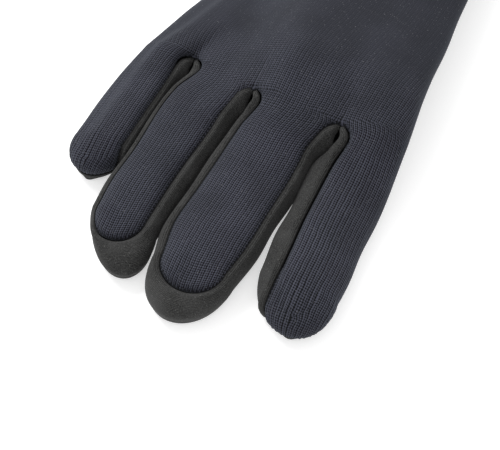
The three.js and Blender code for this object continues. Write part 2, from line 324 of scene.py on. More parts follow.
def across(
    controls: np.ndarray,
    shares: np.ndarray,
    before: Optional[np.ndarray] = None,
    after: Optional[np.ndarray] = None,
    open_start: Values = 0.0,
    open_end: Values = 0.0,
) -> np.ndarray:
    """Draws each row's smooth curve through its control points.

    Args:
        controls: Rows x points x 3.
        shares: Rows x columns, places on the curve from 0 to the number of patches.
        before: The neighbouring edge's point before the first, or None at a seam.
        after: The neighbouring edge's point after the last, or None at a seam.
        open_start: Share, for each row, by which the first point is treated as at a seam.
        open_end: The same for the last point.

    Returns:
        Rows x columns x 3 points.
    """
    chords = np.diff(controls, axis=1)
    lengths = np.maximum(np.linalg.norm(chords, axis=2), 1e-6)[..., None]
    unit = chords / lengths

    def joint(
        first: np.ndarray, second: np.ndarray, first_length: np.ndarray, second_length: np.ndarray,
    ) -> np.ndarray:
        """Direction at a point between two chords, nearer to that of the shorter one."""
        return (first * second_length + second * first_length) / (first_length + second_length)

    inner = joint(unit[:, :-1], unit[:, 1:], lengths[:, :-1], lengths[:, 1:])
    start = 1.5 * unit[:, 0] - 0.5 * inner[:, 0]
    end = 1.5 * unit[:, -1] - 0.5 * inner[:, -1]
    if before is not None:
        chord = controls[:, 0] - before
        length = np.maximum(np.linalg.norm(chord, axis=1), 1e-6)[:, None]
        closed = joint(chord / length, unit[:, 0], length, lengths[:, 0])
        start = mix(closed, start, np.reshape(open_start, (-1, 1)))
    if after is not None:
        chord = after - controls[:, -1]
        length = np.maximum(np.linalg.norm(chord, axis=1), 1e-6)[:, None]
        closed = joint(unit[:, -1], chord / length, lengths[:, -1], length)
        end = mix(closed, end, np.reshape(open_end, (-1, 1)))
    tangents = np.concatenate([start[:, None], inner, end[:, None]], axis=1)
    i = np.clip(np.floor(shares).astype(int), 0, controls.shape[1] - 2)
    t = (shares - i)[..., None]
    rows = np.arange(len(controls))[:, None]
    length = lengths[rows, i]
    return hermite(
        controls[rows, i], controls[rows, i + 1], tangents[rows, i] * length,
        tangents[rows, i + 1] * length, t,
    )


def gathered(columns: int, pull: float = 0.6) -> np.ndarray:
    """Places from 0 to 4 along an edge, closer together towards both of its ends."""
    even = np.arange(columns + 1) / columns
    return EDGE_PATCHES * mix(even, (1 - np.cos(math.pi * even)) / 2, pull)


@dataclass
class Strip:
    """A rectangular piece of cloth: rows x columns of points and their knit coordinates.

    The knit coordinates are millimetres across and along the cloth. keep marks the faces that
    are there, and flip turns the strip over.
    """

    points: np.ndarray
    knit: np.ndarray
    flip: bool = False
    keep: Optional[np.ndarray] = None


@dataclass
class GloveShape:
    """The glove's outer surface, from which every panel takes its strips."""

    low_seam_z: float = 1.3
    low_inset: float = 3.0
    seam_share: float = 0.82
    crown_bluntness: float = 0.6
    hand_bluntness: float = 0.45
    hand_inset: float = 8.0
    lift_height: float = 12.0
    lift_x: tuple[float, float] = (-22.0, 8.0)
    lift_front_y: tuple[float, float] = (-34.0, 14.0)
    lift_back_y: tuple[float, float] = (98.0, 134.0)
    slot_half_gap: float = 0.35
    slot_blend: float = 11.0
    crotch_lean: float = 2.4
    root_blend: float = 30.0
    wrist_y: float = 121.0
    blend_from_y: float = 24.0
    hem_y: float = 152.0
    cuff_y: float = 168.0
    finger_row: float = 1.3
    hand_row: float = 2.4
    u_rows: int = 9
    tip_rows: int = 30
    root_rows: int = 16
    side_columns: int = 20
    bottom_columns: int = 16

    def __post_init__(self) -> None:
        """Works out the control points of all the sections."""
        self.fingers = [self._finger_sections(finger) for finger in FINGERS]
        self.hand_y = self._hand_ys()
        self.hand, self.hand_open = self._hand_sections()

    def lift(self, x: Values, y: Values) -> Values:
        """Height of the glove's underside above the surface, where the thumb lies under it."""
        across_hand = smooth((x - self.lift_x[0]) / (self.lift_x[1] - self.lift_x[0]))
        front = smooth((y - self.lift_front_y[0]) / (self.lift_front_y[1] - self.lift_front_y[0]))
        back = 1 - smooth((y - self.lift_back_y[0]) / (self.lift_back_y[1] - self.lift_back_y[0]))
        return self.lift_height * across_hand * front * back

    @staticmethod
    def opening_half(depth: Values, half_gap: float) -> Values:
        """Half the width of a U-shaped opening at a depth below its round end."""
        reach = 1 - np.minimum(1, depth / half_gap)
        return half_gap * np.sqrt(1 - reach * reach)

    @staticmethod
    def side_edge(seam: np.ndarray, widest: np.ndarray, low: np.ndarray) -> np.ndarray:
        """Points from the top seam round the widest point to the low seam, rows x 5 x 3."""
        points = mix(seam[:, None], low[:, None], EVEN_SHARES[None, :, None])
        for axis in (0, 1):
            points[..., axis] = mix(points[..., axis], widest[:, None, axis], SIDE_BULGE)
        return points

    @staticmethod
    def cross_edge(
        start: np.ndarray, end: np.ndarray, shares: np.ndarray, height_at: Callable, bluntness: float,
    ) -> np.ndarray:
        """Points from left to right, drawn towards the height that height_at gives."""
        points = mix(start[:, None], end[:, None], shares[..., None])
        rise = 4 * shares * (1 - shares)
        pull = np.where(rise > 0, np.maximum(rise, 1e-9) ** bluntness, 0)
        points[..., 2] = mix(points[..., 2], height_at(points), pull)
        return points

    def _closed(
        self, left: np.ndarray, right: np.ndarray, crown_at: Callable, floor_at: Callable,
        shares: np.ndarray, bluntness: float,
    ) -> Section:
        """Section with its top and bottom drawn between its two sides.

        Args:
            left: Points down the left side.
            right: Points down the right side.
            crown_at: Gives the height that the top is drawn towards.
            floor_at: Gives the height that the bottom is drawn towards.
            shares: Places between the two sides, from 0 to 1.
            bluntness: How soon the top rises beside its edges.

        Returns:
            The section's four edges.
        """
        top = self.cross_edge(left[:, 0], right[:, 0], shares, crown_at, bluntness)
        bottom = self.cross_edge(left[:, -1], right[:, -1], shares, floor_at, 0.0)
        return Section(top, right, bottom, left)

    def _finger_side(
        self, finger: Finger, side: Side, y: np.ndarray, depth: np.ndarray,
    ) -> np.ndarray:
        """Side of a finger, which curves into the crotch beside its root.

        Args:
            finger: The finger's table.
            side: Which side of it.
            y: Where each row lies.
            depth: How far each row lies below the finger's root on that side.

        Returns:
            Rows x points down the side x 3.
        """
        out = side.value
        crotch = finger.crotch(side)
        outline = look_up(finger.rows, side.name.lower(), y)
        zero = np.zeros_like(y)
        widest = np.stack([outline, y, zero], axis=1)
        seam = np.stack([outline - out * finger.inset(side), y, zero], axis=1)
        low = np.stack([outline - out * self.low_inset, y, zero], axis=1)
        seam[:, 2] = self.lift(outline, y) + self.seam_share * look_up(finger.rows, "height", y)
        if crotch:
            away = smooth(depth / self.slot_blend)
            slot_x = crotch.x - out * np.minimum(depth, 1) * self.slot_half_gap
            widest[:, 0] = mix(slot_x, widest[:, 0], away)
            widest[:, 1] -= self.crotch_lean * (1 - away)
            seam_x = crotch.x - out * self.opening_half(depth, crotch.half_gap)
            seam[:, 0] = mix(seam_x, seam[:, 0], away)
            seam[:, 2] = mix(crotch.seam_z + self.lift(crotch.x, y), seam[:, 2], away)
            low_x = crotch.x - out * self.opening_half(depth, self.low_inset)
            low[:, 0] = mix(low_x, low[:, 0], away)
        low[:, 2] = self.low_seam_z + self.lift(low[:, 0], y)
        return self.side_edge(seam, widest, low)

    def finger_depths(self, finger: Finger) -> np.ndarray:
        """Depths of a finger's rows below its root, closer together round the crotch."""
        gaps = [c.half_gap for c in (finger.left_crotch, finger.right_crotch) if c]
        angles = np.linspace(0, math.pi / 2, self.u_rows + 1)
        curve = max(gaps) * (1 - np.cos(angles))
        lowest = min(finger.root_y(Side.LEFT), finger.root_y(Side.RIGHT))
        straight = lowest - finger.rows[-1].y
        steps = round((straight - curve[-1]) / self.finger_row)
        return np.concatenate([curve, np.linspace(curve[-1], straight, steps + 1)[1:]])

    def tip_turn(self, finger: Finger) -> np.ndarray:
        """How far each of a finger's rows has turned round the tip, from 0 to a right angle."""
        angles = np.linspace(0, math.pi / 2, self.tip_rows + 1)[1:]
        return np.concatenate([np.zeros(len(self.finger_depths(finger))), angles])

    def _finger_sections(self, finger: Finger) -> Section:
        """Control points of one finger, from its root to the end of its tip.

        Args:
            finger: The finger's table.

        Returns:
            Its sections.
        """
        depth = self.finger_depths(finger)
        roots = {side: finger.root_y(side) for side in Side}
        lowest = min(roots.values())
        sides = {}
        for side in Side:
            y = mix(roots[side], lowest, smooth(depth / self.root_blend)) - depth
            sides[side] = self._finger_side(finger, side, y, depth)
        height = look_up(finger.rows, "height", lowest - depth)[:, None]
        straight = self._closed(
            sides[Side.LEFT], sides[Side.RIGHT],
            lambda p: self.lift(p[..., 0], p[..., 1]) + height,
            lambda p: self.lift(p[..., 0], p[..., 1]),
            EVEN_SHARES[None, :], self.crown_bluntness,
        )
        left, right = straight.left[-1], straight.right[-1]
        tip_x = (left[2, 0] + right[2, 0]) / 2
        return straight.joined(self.tip_sections(left, right, finger.tip, tip_x, height[-1, 0]))

    def tip_sections(
        self, left: np.ndarray, right: np.ndarray, tip: Tip, tip_x: float, crown: float,
    ) -> Section:
        """Sections of a round tip, which close in on one upright line of points.

        Args:
            left: Points down the left side where the tip starts.
            right: Points down the right side there.
            tip: The tip's table.
            tip_x: Middle of the finger where the tip starts.
            crown: Height of the finger there.

        Returns:
            The tip's sections, without the one that it starts from.
        """
        seam_z = self.seam_share * tip.height if tip.seam_z is None else tip.seam_z
        apex = self.side_edge(
            np.array([[tip_x + tip.seam_shift, tip.seam_y, seam_z]]),
            np.array([[tip_x + tip.shift, tip.outline_y, 0.0]]),
            np.array([[tip_x + tip.shift, tip.low_y, self.low_seam_z]]),
        )[0]
        angles = np.linspace(0, math.pi / 2, self.tip_rows + 1)[1:]
        forward = np.sin(angles)[:, None, None]
        narrowing = np.maximum(np.cos(angles), 0)[:, None, None]
        narrowing[-1] = 0
        middle = (left + right) / 2

        def side_at(side: np.ndarray) -> np.ndarray:
            """The side's points as they move forward and close in."""
            return mix(middle[None], apex[None], forward) + (side - middle)[None] * narrowing

        return self._closed(
            side_at(left), side_at(right),
            lambda p: mix(crown, p[..., 2], forward[..., 0]),
            lambda p: 0.0,
            EVEN_SHARES[None, :], self.crown_bluntness,
        )

    def root_edge(self, name: str) -> np.ndarray:
        """The four fingers' top or bottom edges at their roots, joined from left to right."""
        edges = [getattr(section, name)[0] for section in self.fingers]
        return np.concatenate([edges[0]] + [edge[1:] for edge in edges[1:]])

    def hand_controls(self, y: np.ndarray) -> Section:
        """Control points of the hand's sections.

        Args:
            y: Where each section lies.

        Returns:
            The sections.
        """
        y = np.asarray(y, dtype=float)
        height = look_up(HAND_ROWS, "height", y)

        def outline(side: Side) -> np.ndarray:
            """One side of the hand."""
            out = side.value
            edge = look_up(HAND_ROWS, side.name.lower(), y)
            lift = self.lift(edge, y)
            widest = np.stack([edge, y, y * 0], axis=1)
            seam = np.stack([edge - out * self.hand_inset, y, lift + self.seam_share * height], axis=1)
            low = np.stack([edge - out * self.low_inset, y, lift + self.low_seam_z], axis=1)
            return self.side_edge(seam, widest, low)

        root = self.root_edge("top")[:, 0]
        root_shares = (root - root[0]) / (root[-1] - root[0])
        even_shares = np.arange(len(root)) / (len(root) - 1)
        shares = mix(root_shares, even_shares, column(smooth(y / self.wrist_y)))
        return self._closed(
            outline(Side.LEFT), outline(Side.RIGHT),
            lambda p: self.lift(p[..., 0], p[..., 1]) + height[:, None],
            lambda p: self.lift(p[..., 0], p[..., 1]),
            shares, self.hand_bluntness,
        )

    def _hand_ys(self) -> np.ndarray:
        """Heights along the hand of its plain rows, the hem's edge and thumb opening among them."""
        stops = [self.cuff_y, self.hem_y, PalmPanel.opening_y[1], PalmPanel.opening_y[0],
                 self.blend_from_y]
        ys = [np.array([stops[0]])]
        for start, end in zip(stops, stops[1:]):
            steps = max(1, round((start - end) / self.hand_row))
            ys.append(np.linspace(start, end, steps + 1)[1:])
        return np.concatenate(ys)

    def _hand_sections(self) -> tuple[Section, np.ndarray]:
        """Control points of the hand down to the finger roots, and how open the crotches are."""
        plain = self.hand_controls(self.hand_y)
        share = 1 - (1 - np.arange(1, self.root_rows + 1) / self.root_rows) ** 1.7
        share[-1] = 1
        roots = {
            "top": self.root_edge("top"),
            "bottom": self.root_edge("bottom"),
            "left": self.fingers[0].left[0],
            "right": self.fingers[-1].right[0],
        }
        edges = {}
        for name, root in roots.items():
            places = np.arange(len(root))
            y = mix(self.blend_from_y, root[None, :, 1], share[:, None])
            base = getattr(self.hand_controls(y.ravel()), name)
            base = base[np.arange(y.size), np.tile(places, len(share))].reshape(*y.shape, 3)
            at_root = getattr(self.hand_controls(root[:, 1]), name)[places, places]
            edges[name] = base + (share**2)[:, None, None] * (root - at_root)[None]
        opened = np.concatenate([np.zeros(len(self.hand_y)), share**2])
        return plain.joined(Section(**edges)), opened

    def hand_strip(self, name: str, index: int, shares: np.ndarray) -> np.ndarray:
        """Points of the part of the hand that runs on from one finger.

        Args:
            name: "top" or "bottom".
            index: Which finger.
            shares: Places across the finger's part, counted in patches.

        Returns:
            Rows x shares x 3.
        """
        edge = getattr(self.hand, name)
        first = EDGE_PATCHES * index
        last = first + EDGE_PATCHES
        outer_left, outer_right = index == 0, index == len(FINGERS) - 1
        if name == "bottom":
            before = None if outer_left else edge[:, first - 1]
            after = None if outer_right else edge[:, last + 1]
        else:
            before = self.hand.left[:, 1] if outer_left else edge[:, first - 1]
            after = self.hand.right[:, 1] if outer_right else edge[:, last + 1]
        return across(
            edge[:, first:last + 1], np.tile(shares, (len(edge), 1)), before, after,
            0.0 if outer_left else self.hand_open, 0.0 if outer_right else self.hand_open,
        )

    def finger_strip(self, name: str, index: int, shares: np.ndarray) -> np.ndarray:
        """Points of one finger's top or bottom at the given shares."""
        section = self.fingers[index]
        edge = getattr(section, name)
        before = section.left[:, 1] if name == "top" and index == 0 else None
        after = section.right[:, 1] if name == "top" and index == len(FINGERS) - 1 else None
        return across(edge, np.tile(shares, (len(edge), 1)), before, after)

    def side_strip(self, section: Section, side: Side, shares: np.ndarray, outer: bool) -> np.ndarray:
        """Points of one side; an outer side runs on smoothly from the top."""
        edge = section.left if side is Side.LEFT else section.right
        beside = 1 if side is Side.LEFT else -2
        before = section.top[:, beside] if outer else None
        return across(edge, shares, before)


def run_length(points: np.ndarray, axis: int) -> np.ndarray:
    """Length along rows (axis 0) or columns (axis 1) of points, from the first one."""
    steps = np.linalg.norm(np.diff(points, axis=axis), axis=2)
    start = np.zeros_like(np.take(steps, [0], axis=axis))
    return np.cumsum(np.concatenate([start, steps], axis=axis), axis=axis)


@dataclass
class SeamLines:
    """Points along the glove's seams, for finding how far a place is from the nearest one."""

    spacing: float = 0.25
    points: list = field(default_factory=list)
    along: list = field(default_factory=list)

    def add(self, line: np.ndarray) -> None:
        """Adds a seam's line of points, sampled evenly."""
        steps = np.linalg.norm(np.diff(line, axis=0), axis=1)
        length = np.concatenate([[0], np.cumsum(steps)])
        places = np.arange(0, length[-1], self.spacing)
        self.points.append(np.stack([np.interp(places, length, line[:, k]) for k in range(3)], axis=1))
        self.along.append(places)

    def nearest(self, places: np.ndarray) -> tuple[np.ndarray, np.ndarray]:
        """Distance to the nearest seam, and how far along that seam it is, for each place."""
        points = np.concatenate(self.points)
        along = np.concatenate(self.along)
        tree = KDTree(len(points))
        for i, point in enumerate(points):
            tree.insert(point, i)
        tree.balance()
        found = [tree.find(place) for place in places]
        return np.array([f[2] for f in found]), along[[f[1] for f in found]]


@dataclass(frozen=True)
class Layout:
    """Where the glove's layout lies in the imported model's frame, worked out from two nodes."""

    shift: np.ndarray

    @staticmethod
    def from_frame() -> "Layout":
        """Matches the outline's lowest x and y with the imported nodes' boxes."""
        lowest_x = min(row.left for row in FINGERS[0].rows)
        lowest_y = FINGERS[2].tip.outline_y
        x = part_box("back_panel")[0][0] / MM - lowest_x
        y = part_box("middle_sidewall")[0][1] / MM - lowest_y
        return Layout(np.array([x, y, 0.0]))

    def to_frame(self, points: np.ndarray) -> np.ndarray:
        """Layout millimetres to metres in the frame."""
        return (points + self.shift) * MM

    def from_metres(self, points: np.ndarray) -> np.ndarray:
        """Metres in the frame to layout millimetres."""
        return points / MM - self.shift


def deselect() -> None:
    """Deselects every object."""
    bpy.ops.object.select_all(action="DESELECT")


def activate(piece: bpy.types.Object) -> None:
    """Selects one object alone and makes it active."""
    deselect()
    piece.select_set(True)
    bpy.context.view_layer.objects.active = piece


def vertex_array(piece: bpy.types.Object) -> np.ndarray:
    """The piece's vertices as rows of x, y, z in metres."""
    places = np.empty(len(piece.data.vertices) * 3)
    piece.data.vertices.foreach_get("co", places)
    return places.reshape(-1, 3)


def set_vertices(piece: bpy.types.Object, places: np.ndarray) -> None:
    """Moves the piece's vertices to new places in metres."""
    piece.data.vertices.foreach_set("co", np.ascontiguousarray(places).ravel())
    piece.data.update()


def vertex_normals(piece: bpy.types.Object) -> np.ndarray:
    """The piece's outward directions, one for each vertex."""
    normals = np.empty(len(piece.data.vertices) * 3)
    piece.data.vertex_normals.foreach_get("vector", normals)
    return normals.reshape(-1, 3)


def read_attribute(piece: bpy.types.Object, name: str) -> np.ndarray:
    """A vector attribute of the piece's vertices."""
    values = np.empty(len(piece.data.vertices) * 3)
    piece.data.attributes[name].data.foreach_get("vector", values)
    return values.reshape(-1, 3)


def write_attribute(piece: bpy.types.Object, name: str, values: np.ndarray) -> None:
    """Stores a vector for each of the piece's vertices."""
    layer = piece.data.attributes.get(name)
    if layer is None:
        layer = piece.data.attributes.new(name, "FLOAT_VECTOR", "POINT")
    layer.data.foreach_set("vector", np.ascontiguousarray(values, dtype=np.float32).ravel())


def even_directions(places: np.ndarray, directions: np.ndarray, size: float) -> np.ndarray:
    """Evens out directions over a neighbourhood, so that what moves along them doesn't cross.

    Args:
        places: Points in millimetres.
        directions: A unit direction for each point.
        size: Width of the neighbourhood in millimetres.

    Returns:
        The evened unit directions.
    """
    cell = (places - places.min(axis=0)) / size + 1
    base = np.floor(cell).astype(int)
    part = cell - base
    shape = tuple(base.max(axis=0) + 2)
    sums = np.zeros((np.prod(shape), 3))
    corners = []
    for corner in np.ndindex(2, 2, 2):
        weight = np.prod(np.where(corner, part, 1 - part), axis=1)
        index = np.ravel_multi_index((base + corner).T, shape)
        corners.append((index, weight))
        for axis in range(3):
            sums[:, axis] += np.bincount(index, weight * directions[:, axis], len(sums))
    even = sum(weight[:, None] * sums[index] for index, weight in corners)
    return even / np.maximum(np.linalg.norm(even, axis=1), 1e-9)[:, None]


def soft_noise(places: np.ndarray, size: float, seed: int) -> np.ndarray:
    """Gentle unevenness between about -1 and 1, made of a few crossing waves.

    Args:
        places: Points in millimetres.
        size: Typical width of a hump in millimetres.
        seed: Picks the waves, so that every run gives the same ones.

    Returns:
        One value for each place.
    """
    random = np.random.default_rng(seed)
    total = np.zeros(len(places))
    waves = 7
    for _ in range(waves):
        direction = random.normal(size=3)
        direction /= np.linalg.norm(direction)
        turns = random.uniform(0.7, 1.5) * math.pi / size
        total += np.sin(places @ direction * turns + random.uniform(0, 2 * math.pi))
    return total / math.sqrt(waves)


@dataclass
class ClothBuilder:
    """Turns strips into one finished piece of cloth."""

    layout: Layout
    merge: float = 4e-6
    even_over: float = 1.2

    def piece(self, name: str, strips: Sequence[Strip]) -> bpy.types.Object:
        """Adds a grid for each strip, shapes it, and joins the grids along their shared edges.

        Args:
            name: Name of the piece.
            strips: The cloth's strips.

        Returns:
            The joined piece, a sheet whose faces point outwards.
        """
        parts = [self._grid(strip) for strip in strips]
        deselect()
        for part in parts:
            part.select_set(True)
        bpy.context.view_layer.objects.active = parts[0]
        if len(parts) > 1:
            bpy.ops.object.join()
        piece = bpy.context.view_layer.objects.active
        piece.name = piece.data.name = name
        activate(piece)
        bpy.ops.object.mode_set(mode="EDIT")
        bpy.ops.mesh.select_all(action="SELECT")
        bpy.ops.mesh.remove_doubles(threshold=self.merge)
        bpy.ops.mesh.dissolve_degenerate(threshold=self.merge / 4)
        bpy.ops.object.mode_set(mode="OBJECT")
        return piece

    def _grid(self, strip: Strip) -> bpy.types.Object:
        """A plane grid with one vertex for each of the strip's points, moved into place.

        Args:
            strip: The points, their knit coordinates and the faces to keep.

        Returns:
            The grid.
        """
        points, knit, keep = strip.points[::-1], strip.knit[::-1], strip.keep
        keep = None if keep is None else keep[::-1]
        if strip.flip:
            points, knit = points[:, ::-1], knit[:, ::-1]
            keep = None if keep is None else keep[:, ::-1]
        rows, columns = points.shape[:2]
        deselect()
        bpy.ops.mesh.primitive_grid_add(x_subdivisions=columns - 1, y_subdivisions=rows - 1, size=MM)
        grid = bpy.context.active_object
        set_vertices(grid, self.layout.to_frame(points.reshape(-1, 3)))
        flat = np.zeros((rows * columns, 3))
        flat[:, :2] = knit.reshape(-1, 2)
        write_attribute(grid, KNIT, flat)
        if keep is not None and not keep.all():
            bpy.context.tool_settings.mesh_select_mode = (False, False, True)
            grid.data.vertices.foreach_set("select", np.zeros(rows * columns, dtype=bool))
            grid.data.edges.foreach_set("select", np.zeros(len(grid.data.edges), dtype=bool))
            grid.data.polygons.foreach_set("select", ~keep.ravel())
            bpy.ops.object.mode_set(mode="EDIT")
            bpy.ops.mesh.delete(type="FACE")
            bpy.ops.object.mode_set(mode="OBJECT")
        return grid

    def sculpt(self, piece: bpy.types.Object, push: Callable[[np.ndarray], np.ndarray]) -> None:
        """Moves each vertex along its outward direction by push(places), in millimetres."""
        places = self.layout.from_metres(vertex_array(piece))
        outward = even_directions(places, vertex_normals(piece), self.even_over)
        moved = places + outward * push(places)[:, None]
        moved[:, 2] = np.maximum(moved[:, 2], 0)
        set_vertices(piece, self.layout.to_frame(moved))

    def relax(self, piece: bpy.types.Object, weights: np.ndarray, turns: int) -> None:
        """Evens out the sheet where its vertices have weights, over a number of turns."""
        group = piece.vertex_groups.new(name="relaxed")
        for index in np.flatnonzero(weights > 0.01):
            group.add([int(index)], float(weights[index]), "REPLACE")
        activate(piece)
        eased = piece.modifiers.new("relaxed", "SMOOTH")
        eased.factor = 0.5
        eased.iterations = turns
        eased.vertex_group = group.name
        bpy.ops.object.modifier_apply(modifier=eased.name)
        piece.vertex_groups.clear()

    def mark_seams(self, piece: bpy.types.Object, seams: SeamLines) -> np.ndarray:
        """Stores each vertex's distance to the nearest seam, its place along it, and its wear."""
        places = self.layout.from_metres(vertex_array(piece))
        distance, along = seams.nearest(places)
        wear = np.zeros(len(places))
        for spot in RUBBED_SPOTS:
            wear += bell(np.linalg.norm(places - np.array(spot.at), axis=1), spot.width)
        write_attribute(piece, SEAM, np.stack([distance, along, wear], axis=1))
        return distance

    def thicken(self, piece: bpy.types.Object, wall: float) -> None:
        """Gives the sheet its wall, inwards, and smooths its shading.

        Args:
            piece: The sheet.
            wall: Thickness of the cloth.
        """
        places = self.layout.from_metres(vertex_array(piece))
        outward = even_directions(places, vertex_normals(piece), self.even_over)
        activate(piece)
        solid = piece.modifiers.new("wall", "SOLIDIFY")
        solid.thickness = wall * MM
        solid.offset = -1
        bpy.ops.object.modifier_apply(modifier=solid.name)
        walled = self.layout.from_metres(vertex_array(piece))
        inner = places - outward * wall
        walled[len(places):] = inner
        walled[:, 2] = np.maximum(walled[:, 2], 0)
        set_vertices(piece, self.layout.to_frame(walled))
        activate(piece)
        bpy.ops.object.shade_smooth_by_angle(angle=math.radians(50))


class Nodes:
    """Short helper for wiring a material's nodes.

    A Feed is what can go into a node's input: another node's output, a number or a colour.
    """

    def __init__(self, name: str) -> None:
        """Starts a material with a Principled shader."""
        self.material = bpy.data.materials.new(name)
        self.material.use_nodes = True
        self.tree = self.material.node_tree
        self.shader = self.tree.nodes["Principled BSDF"]

    def add(self, kind: str, **settings) -> bpy.types.Node:
        """A node with the given settings."""
        node = self.tree.nodes.new(kind)
        for key, value in settings.items():
            setattr(node, key, value)
        return node

    def wire(self, source: Feed, target: bpy.types.NodeSocket) -> None:
        """Feeds a socket or a constant into a socket."""
        if isinstance(source, bpy.types.NodeSocket):
            self.tree.links.new(source, target)
        else:
            target.default_value = source

    def math(self, operation: str, *inputs: Feed) -> bpy.types.NodeSocket:
        """Result of a Math node."""
        node = self.add("ShaderNodeMath", operation=operation)
        for socket, value in zip(node.inputs, inputs):
            self.wire(value, socket)
        return node.outputs[0]

    def ramp(
        self, value: Feed, low: float, high: float, to_low: float, to_high: float,
    ) -> bpy.types.NodeSocket:
        """Value eased from one range to another and held there."""
        node = self.add("ShaderNodeMapRange", interpolation_type="SMOOTHSTEP")
        for socket, number in zip(node.inputs, (value, low, high, to_low, to_high)):
            self.wire(number, socket)
        return node.outputs[0]

    def noise(self, vector: Feed, scale: float, detail: float = 2.0) -> bpy.types.NodeSocket:
        """Noise between 0 and 1 with humps about 1/scale wide."""
        node = self.add("ShaderNodeTexNoise")
        self.wire(vector, node.inputs["Vector"])
        node.inputs["Scale"].default_value = scale
        node.inputs["Detail"].default_value = detail
        return node.outputs["Fac"]

    def grain(
        self, vector: Feed, scale: float, detail: float, height: float,
    ) -> bpy.types.NodeSocket:
        """Noise from -height to height."""
        return self.math("MULTIPLY_ADD", self.noise(vector, scale, detail), 2 * height, -height)

    def set_matt(self, roughness: float, specular: float, sheen: float) -> None:
        """Makes the shader a matt cloth with a little sheen."""
        self.shader.inputs["Roughness"].default_value = roughness
        self.shader.inputs["Specular IOR Level"].default_value = specular
        self.shader.inputs["Sheen Weight"].default_value = sheen
        self.shader.inputs["Sheen Roughness"].default_value = 0.5

    def blend(self, share: Feed, first: Feed, second: Feed) -> bpy.types.NodeSocket:
        """Colour between two colours."""
        node = self.add("ShaderNodeMix", data_type="RGBA")
        self.wire(share, node.inputs[0])
        self.wire(first, node.inputs[6])
        self.wire(second, node.inputs[7])
        return node.outputs[2]

    def attribute(self, name: str) -> tuple:
        """The three parts of a vertex attribute."""
        node = self.add("ShaderNodeAttribute", attribute_name=name)
        return self.split(node.outputs["Vector"])

    def split(self, vector: Feed) -> tuple:
        """The three parts of a vector."""
        node = self.add("ShaderNodeSeparateXYZ")
        self.wire(vector, node.inputs[0])
        return tuple(node.outputs)

    def object_place(self) -> bpy.types.NodeSocket:
        """Object coordinates, in metres."""
        return self.add("ShaderNodeTexCoord").outputs["Object"]

    def bump(self, height: Feed, distance: float) -> None:
        """Bumps the shader's normal by a height from 0 to 1."""
        node = self.add("ShaderNodeBump")
        node.inputs["Strength"].default_value = 1.0
        node.inputs["Distance"].default_value = distance
        self.wire(height, node.inputs["Height"])
        self.wire(node.outputs[0], self.shader.inputs["Normal"])


def rgb(red: float, green: float, blue: float) -> tuple[float, float, float, float]:
    """A linear colour with full alpha."""
    return (red, green, blue, 1.0)


